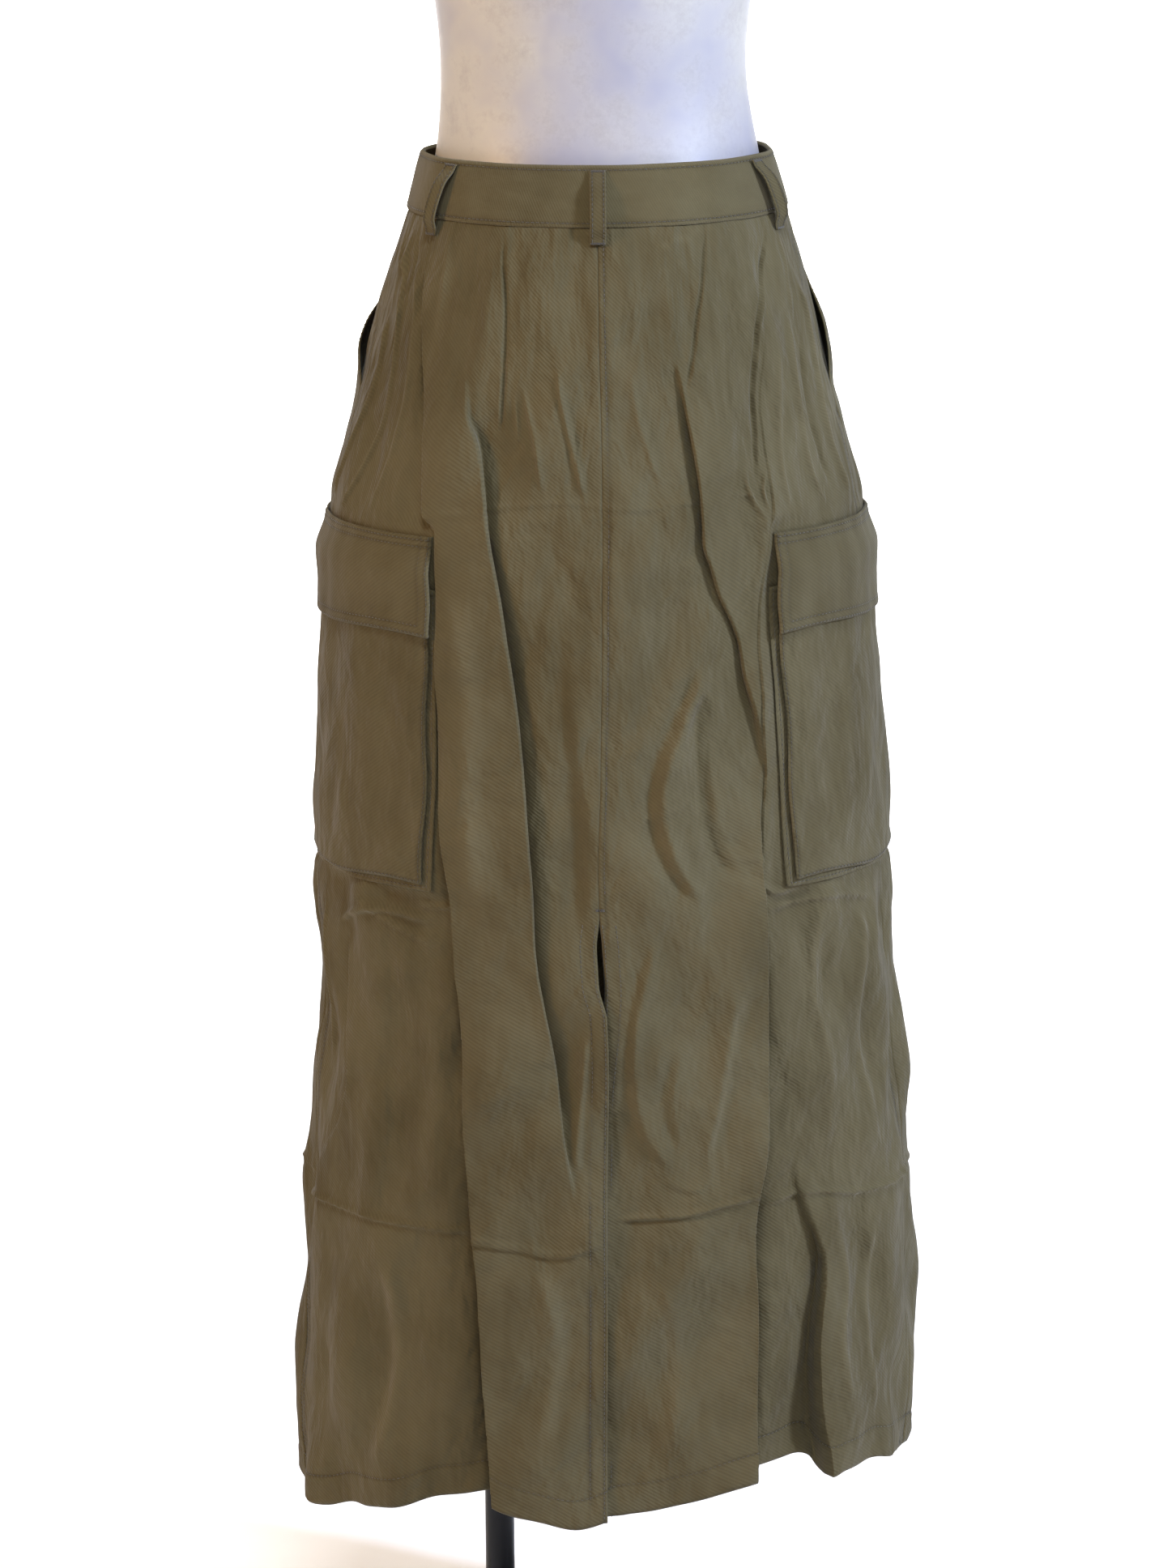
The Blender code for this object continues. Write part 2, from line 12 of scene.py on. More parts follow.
import bpy
import numpy as np
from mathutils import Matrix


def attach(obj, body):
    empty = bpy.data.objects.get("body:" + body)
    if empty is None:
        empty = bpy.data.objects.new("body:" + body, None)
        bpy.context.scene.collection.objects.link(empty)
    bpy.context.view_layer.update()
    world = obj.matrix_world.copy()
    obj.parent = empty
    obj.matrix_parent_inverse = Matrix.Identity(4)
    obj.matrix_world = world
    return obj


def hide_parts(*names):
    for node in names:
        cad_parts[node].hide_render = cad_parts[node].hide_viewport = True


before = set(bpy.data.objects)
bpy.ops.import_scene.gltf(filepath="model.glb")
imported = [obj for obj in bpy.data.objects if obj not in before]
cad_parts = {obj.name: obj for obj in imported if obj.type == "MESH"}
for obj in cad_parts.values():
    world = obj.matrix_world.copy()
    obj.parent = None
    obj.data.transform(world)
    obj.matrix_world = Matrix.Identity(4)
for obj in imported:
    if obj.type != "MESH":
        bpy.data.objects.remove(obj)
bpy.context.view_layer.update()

# ---- The dress form ------------------------------------------------------------------------------
# A hollow glass-fibre torso with no limbs, sprayed pearl white and lacquered. The skirt rests on its
# hips and waist. One smooth surface runs through a few sections, from its flat foot to its neck.
MM = 0.001
LIFT = 0.035  # the datum's height above the floor
Section = namedtuple("Section", "level half shift back front")
FORM = tuple(
    Section(*row)
    for row in (
        (0.765, 0.1440, 0.000, 0.108, 0.094),
        (0.805, 0.1480, 0.000, 0.114, 0.098),
        (0.860, 0.1470, 0.000, 0.114, 0.098),
        (0.915, 0.1380, 0.000, 0.109, 0.095),
        (0.960, 0.1240, 0.001, 0.101, 0.089),
        (1.002, 0.1130, 0.002, 0.092, 0.083),
        (1.040, 0.1055, 0.002, 0.081, 0.076),
        (1.090, 0.1000, 0.000, 0.076, 0.078),
        (1.150, 0.1050, 0.000, 0.081, 0.089),
        (1.230, 0.1240, 0.000, 0.090, 0.106),
        (1.290, 0.1360, 0.000, 0.094, 0.108),
        (1.340, 0.1460, 0.000, 0.094, 0.094),
        (1.380, 0.1510, 0.000, 0.088, 0.076),
        (1.408, 0.1480, 0.000, 0.078, 0.064),
        (1.428, 0.1240, 0.000, 0.068, 0.057),
        (1.446, 0.0900, 0.000, 0.059, 0.052),
        (1.466, 0.0640, 0.000, 0.052, 0.050),
        (1.490, 0.0540, 0.000, 0.049, 0.049),
        (1.540, 0.0500, 0.000, 0.048, 0.048),
    )
)
FORM_ROUND = 0.004  # the rounding of its foot's and neck's rims
FOOT_CAP, NECK_CAP = (0.100, 0.050, 0.015), (0.012, 0.025, 0.044)  # their rings, in from the rims


def ease(value, start, end):
    """0 at start and 1 at end, with a level slope at both."""
    t = np.clip((value - start) / (end - start), 0.0, 1.0)
    return t * t * (3.0 - 2.0 * t)


def through(at, knots, values):
    """A smooth curve through the values at rising knots: cubic pieces with averaged slopes."""
    knots, values = np.asarray(knots, float), np.asarray(values, float)
    slopes = np.gradient(values, knots)
    at = np.clip(at, knots[0], knots[-1])
    k = np.clip(np.searchsorted(knots, at, side="right") - 1, 0, len(knots) - 2)
    step = knots[k + 1] - knots[k]
    t = (at - knots[k]) / step
    return (
        values[k] * (1 + 2 * t) * (1 - t) ** 2
        + values[k + 1] * t * t * (3 - 2 * t)
        + step * slopes[k] * t * (1 - t) ** 2
        - step * slopes[k + 1] * t * t * (1 - t)
    )


def section(table, level):
    """Half width, shift, and the depths behind and in front, at a level."""
    levels = [row.level for row in table]
    names = ("half", "shift", "back", "front")
    return [through(level, levels, [getattr(row, name) for row in table]) for name in names]


def ellipse(angle, level, out, table):
    """Points on the sections' ellipse at each angle and level, moved out along its normal."""
    angle, level = np.broadcast_arrays(angle, level)
    half, shift, back, front = section(table, level)
    turn = np.radians(angle)
    depth = np.where(np.cos(turn) > 0, back, front)
    normal = np.stack([np.sin(turn) / half, -np.cos(turn) / depth])
    normal /= np.hypot(*normal)
    x = shift + half * np.sin(turn) + out * normal[0]
    y = -depth * np.cos(turn) + out * normal[1]
    return np.stack([x, y, level + LIFT], axis=-1)


def add_grid(name, points, closed=False, caps=False, uv=None, wear_and_painted_shading=None):
    """A mesh through a grid of points, rows upwards and columns with the angle, so it faces out.
    closed joins the last column to the first, and caps close the first and last rows."""
    rows, columns = points.shape[:2]
    index = np.arange(rows * columns).reshape(rows, columns)
    if closed:
        index = np.hstack([index, index[:, :1]])
    faces = np.stack([index[:-1, :-1], index[:-1, 1:], index[1:, 1:], index[1:, :-1]], axis=-1)
    faces = faces.reshape(-1, 4)
    ends = [index[0, :columns][::-1].tolist(), index[-1, :columns].tolist()] if caps else []
    mesh = bpy.data.meshes.new(name)
    mesh.from_pydata(points.reshape(-1, 3).tolist(), [], faces.tolist() + ends)
    if uv is not None:
        layer = mesh.uv_layers.new(name="cut")
        layer.data.foreach_set("uv", uv.reshape(-1, 2)[faces.ravel()].ravel())
    if wear_and_painted_shading is not None:
        layer = mesh.attributes.new("wear_and_painted_shading", "FLOAT", "POINT")
        layer.data.foreach_set("value", np.broadcast_to(wear_and_painted_shading, (rows, columns)).ravel())
    mesh.shade_smooth()
    mesh.update()
    piece = bpy.data.objects.new(name, mesh)
    bpy.context.scene.collection.objects.link(piece)
    return piece


def finish(piece, material, slot, *nodes):
    """Gives a piece its material and its place in the frame."""
    piece.data.materials.append(material)
    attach(piece, "root")
    if nodes:
        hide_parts(*nodes)


def linear(code):
    """An sRGB hex colour as linear values with full alpha."""
    shares = np.array([int(code[k : k + 2], 16) / 255 for k in (1, 3, 5)])
    shares = np.where(shares <= 0.04045, shares / 12.92, ((shares + 0.055) / 1.055) ** 2.4)
    return (*shares, 1.0)


def set_inputs(tree, node, inputs):
    """Sets each input from a value, or links it from a socket."""
    for key, value in inputs.items():
        if isinstance(value, bpy.types.NodeSocket):
            tree.links.new(value, node.inputs[key])
        else:
            node.inputs[key].default_value = value


def add_node(tree, kind, output, inputs=None, **values):
    """Adds a node with its own values and inputs, and gives one of its output sockets."""
    node = tree.nodes.new("ShaderNode" + kind)
    for key, value in values.items():
        setattr(node, key, value)
    set_inputs(tree, node, inputs or {})
    return node.outputs[output]


def new_material(name):
    """A material, its node tree and its shader."""
    material = bpy.data.materials.new(name)
    material.use_nodes = True
    return material, material.node_tree, material.node_tree.nodes["Principled BSDF"]


def layered(tree, base, *layers):
    """Colours laid over a base in turn. Each layer has the value that places it, two ends of that
    value, how much of the layer shows at each of them, and its colour."""
    colour = linear(base)
    for value, low, high, at_low, at_high, code in layers:
        share = add_node(
            tree, "MapRange", "Result",
            {"Value": value, "From Min": low, "From Max": high, "To Min": at_low, "To Max": at_high},
        )
        colour = add_node(tree, "Mix", 2, {0: share, 6: colour, 7: linear(code)}, data_type="RGBA")
    return colour


def pearl_lacquer():
    """Sprayed pearl white under clear lacquer: cool and warm clouds, a soft gloss, light scuffs."""
    material, tree, shader = new_material("pearl_lacquer")
    place = add_node(tree, "TexCoord", "Object")
    cloudy = {"Vector": place, "Scale": 7.0, "Detail": 4.0, "Roughness": 0.6}
    rubbed = {"Vector": place, "Scale": 28.0, "Detail": 8.0, "Roughness": 0.75}
    clouds = add_node(tree, "TexNoise", "Fac", cloudy)
    marks = add_node(tree, "TexNoise", "Fac", rubbed)
    warm = (clouds, 0.38, 0.60, 0.0, 1.0, "#a29e97")
    scuffs = (marks, 0.50, 0.76, 0.0, 0.50, "#686569")
    gloss = {"Value": clouds, "From Min": 0.3, "From Max": 0.7, "To Min": 0.38, "To Max": 0.52}
    set_inputs(tree, shader, {
        "Base Color": layered(tree, "#86858f", warm, scuffs),
        "Roughness": add_node(tree, "MapRange", "Result", gloss),
        "Normal": add_node(tree, "Bump", "Normal", {"Height": marks, "Strength": 0.05, "Distance": MM}),
        "Coat Weight": 0.25,
        "Coat Roughness": 0.3,
    })
    return material


def form_rings():
    """Rings of the form, drawn in and rounded at its foot and neck before the caps close them."""
    round_off = np.linspace(0.0, pi / 2, 6)
    low, high = FORM[0].level, FORM[-1].level
    levels = np.concatenate([
        np.full(3, low),
        low + FORM_ROUND * (1.0 - np.cos(round_off)),
        np.linspace(low + 0.010, high - 0.010, 150),
        high - FORM_ROUND * (1.0 - np.sin(round_off)),
        np.full(3, high),
    ])
    inset = np.concatenate([
        FOOT_CAP,
        FORM_ROUND * (1.0 - np.sin(round_off)),
        np.zeros(150),
        FORM_ROUND * (1.0 - np.cos(round_off)),
        NECK_CAP,
    ])
    angle = np.arange(0.0, 360.0, 2.5)
    rings = ellipse(angle[None, :], levels[:, None], 0.0, FORM)
    rings[..., :2] *= (1.0 - inset / section(FORM, levels)[0])[:, None, None]
    return rings


form = add_grid("form_torso", form_rings(), closed=True, caps=True)
finish(form, pearl_lacquer(), "pearl_gloss", "dress_form")

# ---- The stand -----------------------------------------------------------------------------------
# A weighted round plate, a collar, a steel tube and a flanged socket under the form, all turned and
# enamelled black. The pole stands off centre. Each is a profile carried round its own axis.
POLE_X, POLE_R = -0.072, 0.010
BASE_R, BASE_THICK = 0.170, 0.008
COLLAR_TOP, SOCKET_LONG, FLANGE_R = 0.063, 0.0397, 0.032
GAP = 0.0003  # between touching pieces


def rounded(profile, radius):
    """A closed or open profile with each of its inner corners replaced by a small arc."""
    points = np.array(profile, float)
    rows = [points[0]]
    for before, corner, after in zip(points[:-2], points[1:-1], points[2:]):
        reach = min(radius, np.linalg.norm(before - corner) / 2, np.linalg.norm(after - corner) / 2)
        start = corner + (before - corner) / np.linalg.norm(before - corner) * reach
        end = corner + (after - corner) / np.linalg.norm(after - corner) * reach
        t = np.linspace(0.0, 1.0, 5)[:, None]
        rows.extend((1 - t) ** 2 * start + 2 * t * (1 - t) * corner + t * t * end)
    rows.append(points[-1])
    return np.array(rows)


def turned(name, x, profile, radius, steps=96):
    """A turned piece: (radius, level) up its outer side, carried round a vertical axis at x."""
    rows = rounded(profile, radius)
    turn = np.linspace(0.0, 2 * pi, steps, endpoint=False)
    rings = np.stack([
        x + rows[:, :1] * np.sin(turn),
        -rows[:, :1] * np.cos(turn),
        np.broadcast_to(rows[:, 1:], (len(rows), steps)),
    ], axis=-1)
    return add_grid(name, rings, closed=True, caps=profile[0] != profile[-1])


def black_enamel():
    """Stoved black enamel on steel: near black, glossy, with a faint orange-peel and dust."""
    material, tree, shader = new_material("black_enamel")
    place = add_node(tree, "TexCoord", "Object")
    dusty = {"Vector": place, "Scale": 40.0, "Detail": 8.0, "Roughness": 0.7}
    peel = add_node(tree, "TexNoise", "Fac", {"Vector": place, "Scale": 350.0, "Detail": 2.0})
    dust = add_node(tree, "TexNoise", "Fac", dusty)
    gloss = {"Value": dust, "From Min": 0.3, "From Max": 0.8, "To Min": 0.24, "To Max": 0.5}
    set_inputs(tree, shader, {
        "Base Color": layered(tree, "#050506", (dust, 0.5, 0.75, 0.0, 0.35, "#121214")),
        "Roughness": add_node(tree, "MapRange", "Result", gloss),
        "Normal": add_node(tree, "Bump", "Normal", {"Height": peel, "Strength": 0.06, "Distance": MM}),
        "IOR": 1.45,
        "Specular IOR Level": 0.2,
        "Coat Weight": 0.05,
        "Coat Roughness": 0.3,
    })
    return material


foot, hole, rest = FORM[0].level + LIFT - GAP, POLE_R + GAP, BASE_THICK + GAP
socket_foot = foot - SOCKET_LONG
enamel = black_enamel()
# Each row has the piece, its node, its axis, the rounding of its corners, and its profile.
STAND = (
    ("base_disc", "base_plate", 0.0, 0.002,
     ((0.004, 0.0), (BASE_R, 0.0), (BASE_R, BASE_THICK), (0.004, BASE_THICK))),
    ("collar", "base_collar", POLE_X, 0.0015,
     ((hole, rest), (0.030, rest), (0.030, 0.014), (0.017, 0.018), (0.017, COLLAR_TOP),
      (hole, COLLAR_TOP), (hole, rest))),
    ("pole", "stand_pole", POLE_X, 0.0005,
     ((0.004, rest), (POLE_R, rest), (POLE_R, foot), (0.004, foot))),
    ("socket", "form_socket", POLE_X, 0.001,
     ((hole, socket_foot), (0.015, socket_foot), (0.016, foot - 0.007), (FLANGE_R, foot - 0.005),
      (FLANGE_R, foot), (hole, foot), (hole, socket_foot))),
)
for name, node, x, radius, profile in STAND:
    finish(turned(name, x, profile, radius), enamel, "black_steel", node)

# ---- The cloth: how the skirt hangs --------------------------------------------------------------
# Washed olive cotton twill of middling weight. Its form is an ellipse at each level, its folds step
# from a set-back side to a proud one that can roll over it, and its creases are low lines and dents.
WAIST_TOP, WAIST_SEAM = 1.040, 1.0023
PANEL_TOP = WAIST_SEAM + 0.0030  # the panels run up behind the band
SIDE_LEFT, SIDE_RIGHT = -84.0, 79.0
FLAP_TOP, FLAP_FOOT = 0.803, 0.738
POCKET_TOP, POCKET_FOOT, POCKET_TURN = 0.772, 0.573, 70.0
POCKET_R = 0.155
POCKET_PER_METRE = 180 / pi / POCKET_R  # degrees round the skirt for a metre along a pocket
SKIRT = tuple(
    Section(*row)
    for row in (
        (0.100, 0.2100, 0.000, 0.134, 0.136),
        (0.190, 0.2095, 0.002, 0.137, 0.138),
        (0.286, 0.2065, 0.005, 0.140, 0.138),
        (0.380, 0.2015, 0.006, 0.143, 0.138),
        (0.450, 0.1945, 0.007, 0.146, 0.137),
        (0.555, 0.1915, 0.003, 0.147, 0.134),
        (0.583, 0.1875, 0.002, 0.147, 0.133),
        (0.650, 0.1815, 0.002, 0.146, 0.130),
        (0.695, 0.1788, 0.001, 0.145, 0.128),
        (0.760, 0.1745, 0.000, 0.142, 0.124),
        (0.805, 0.1768, 0.000, 0.140, 0.121),
        (0.850, 0.1665, 0.000, 0.137, 0.118),
        (0.891, 0.1555, 0.000, 0.133, 0.115),
        (0.913, 0.1500, 0.000, 0.131, 0.113),
        (0.957, 0.1385, 0.001, 0.124, 0.108),
        (1.002, 0.1250, 0.002, 0.110, 0.099),
        (1.040, 0.1140, 0.002, 0.088, 0.086),
    )
)
Pocket = namedtuple("Pocket", "side back_edge flap_back")
POCKETS = (Pocket("left", -38.0, -36.8), Pocket("right", 41.0, 40.0))

# Each fold's marks are level, angle and rise in mm. Its proud side is +1 where that has the larger
# angle. crest is the proud side's share of the rise, roll is how far it rolls over the other side,
# and soft, edge and back are the widths over which its sides die away, all in mm.
Fold = namedtuple("Fold", "name marks proud crest soft edge back roll")
FOLDS = (
    Fold(
        "left_valley",
        ((1.000, -59.2, 0), (0.937, -50.9, 4), (0.886, -44.5, 6), (0.835, -40.4, 8), (0.783, -37.3, 9),
         (0.714, -35.6, 10), (0.624, -34.2, 11), (0.570, -31.6, 12), (0.488, -29.9, 14), (0.377, -27.6, 18),
         (0.322, -25.5, 20), (0.237, -23.2, 24), (0.151, -20.8, 28), (0.100, -19.5, 30)),
        1, 0.40, 30, 3.0, 38, 7,
    ),
    Fold(
        "left_lap",
        ((0.905, -33.0, 0), (0.879, -30.3, 4), (0.867, -27.8, 7), (0.838, -25.0, 9), (0.786, -21.8, 10),
         (0.734, -19.3, 10), (0.681, -16.9, 9), (0.628, -15.4, 9), (0.574, -14.0, 9), (0.520, -13.5, 8),
         (0.465, -11.4, 7), (0.409, -9.1, 5), (0.359, -6.4, 0)),
        -1, 0.50, 26, 2.4, 28, 7,
    ),
    Fold(
        "right_lap",
        ((0.922, 20.0, 0), (0.906, 20.7, 3), (0.880, 21.6, 6), (0.838, 22.7, 7), (0.812, 22.7, 7),
         (0.796, 22.9, 7), (0.785, 24.5, 6), (0.766, 26.6, 6), (0.750, 29.3, 6), (0.736, 31.1, 6),
         (0.714, 31.9, 6), (0.676, 34.6, 4), (0.648, 35.8, 0)),
        1, 0.55, 20, 2.2, 24, 6,
    ),
    Fold(
        "right_pocket_valley",
        ((0.940, 50.0, 0), (0.886, 43.0, 3), (0.833, 40.5, 5), (0.770, 37.5, 6), (0.650, 35.8, 7),
         (0.560, 33.0, 0)),
        1, 0.35, 12, 7, 26, 0,
    ),
    Fold(
        "right_valley",
        ((0.640, 34.5, 0), (0.568, 32.9, 11), (0.375, 29.3, 16), (0.347, 27.9, 17), (0.291, 27.8, 19),
         (0.182, 27.7, 25), (0.100, 27.5, 28)),
        -1, 0.38, 36, 2.8, 32, 7,
    ),
    Fold(
        "right_return",
        ((0.380, 38.0, 0), (0.357, 38.7, 5), (0.306, 43.5, 10), (0.261, 42.0, 13), (0.203, 42.7, 17),
         (0.173, 44.2, 19), (0.100, 45.5, 21)),
        1, 0.50, 28, 3.5, 26, 6,
    ),
    Fold(
        "left_side_lap",
        ((0.530, -64.0, 0), (0.516, -64.1, 4), (0.470, -63.0, 7), (0.416, -62.2, 6), (0.352, -75.6, 0)),
        1, 0.40, 26, 3.0, 24, 6,
    ),
    Fold(
        "front_left_valley",
        ((0.930, -137.0, 0), (0.800, -141.0, 5), (0.560, -145.0, 11), (0.300, -149.0, 17),
         (0.100, -152.0, 23)),
        -1, 0.40, 34, 7, 40, 5,
    ),
    Fold(
        "front_left_side_valley",
        ((0.520, -112.0, 0), (0.400, -115.0, 8), (0.250, -113.0, 12), (0.100, -117.0, 15)),
        1, 0.40, 30, 6, 34, 4,
    ),
    Fold(
        "front_right_valley",
        ((0.900, 143.0, 0), (0.760, 147.0, 6), (0.520, 151.0, 10), (0.280, 153.0, 18), (0.100, 158.0, 24)),
        1, 0.40, 32, 6, 42, 5,
    ),
    Fold(
        "front_right_side_valley",
        ((0.540, 118.0, 0), (0.380, 120.0, 9), (0.230, 117.0, 12), (0.100, 121.0, 16)),
        -1, 0.40, 30, 7, 36, 4,
    ),
)

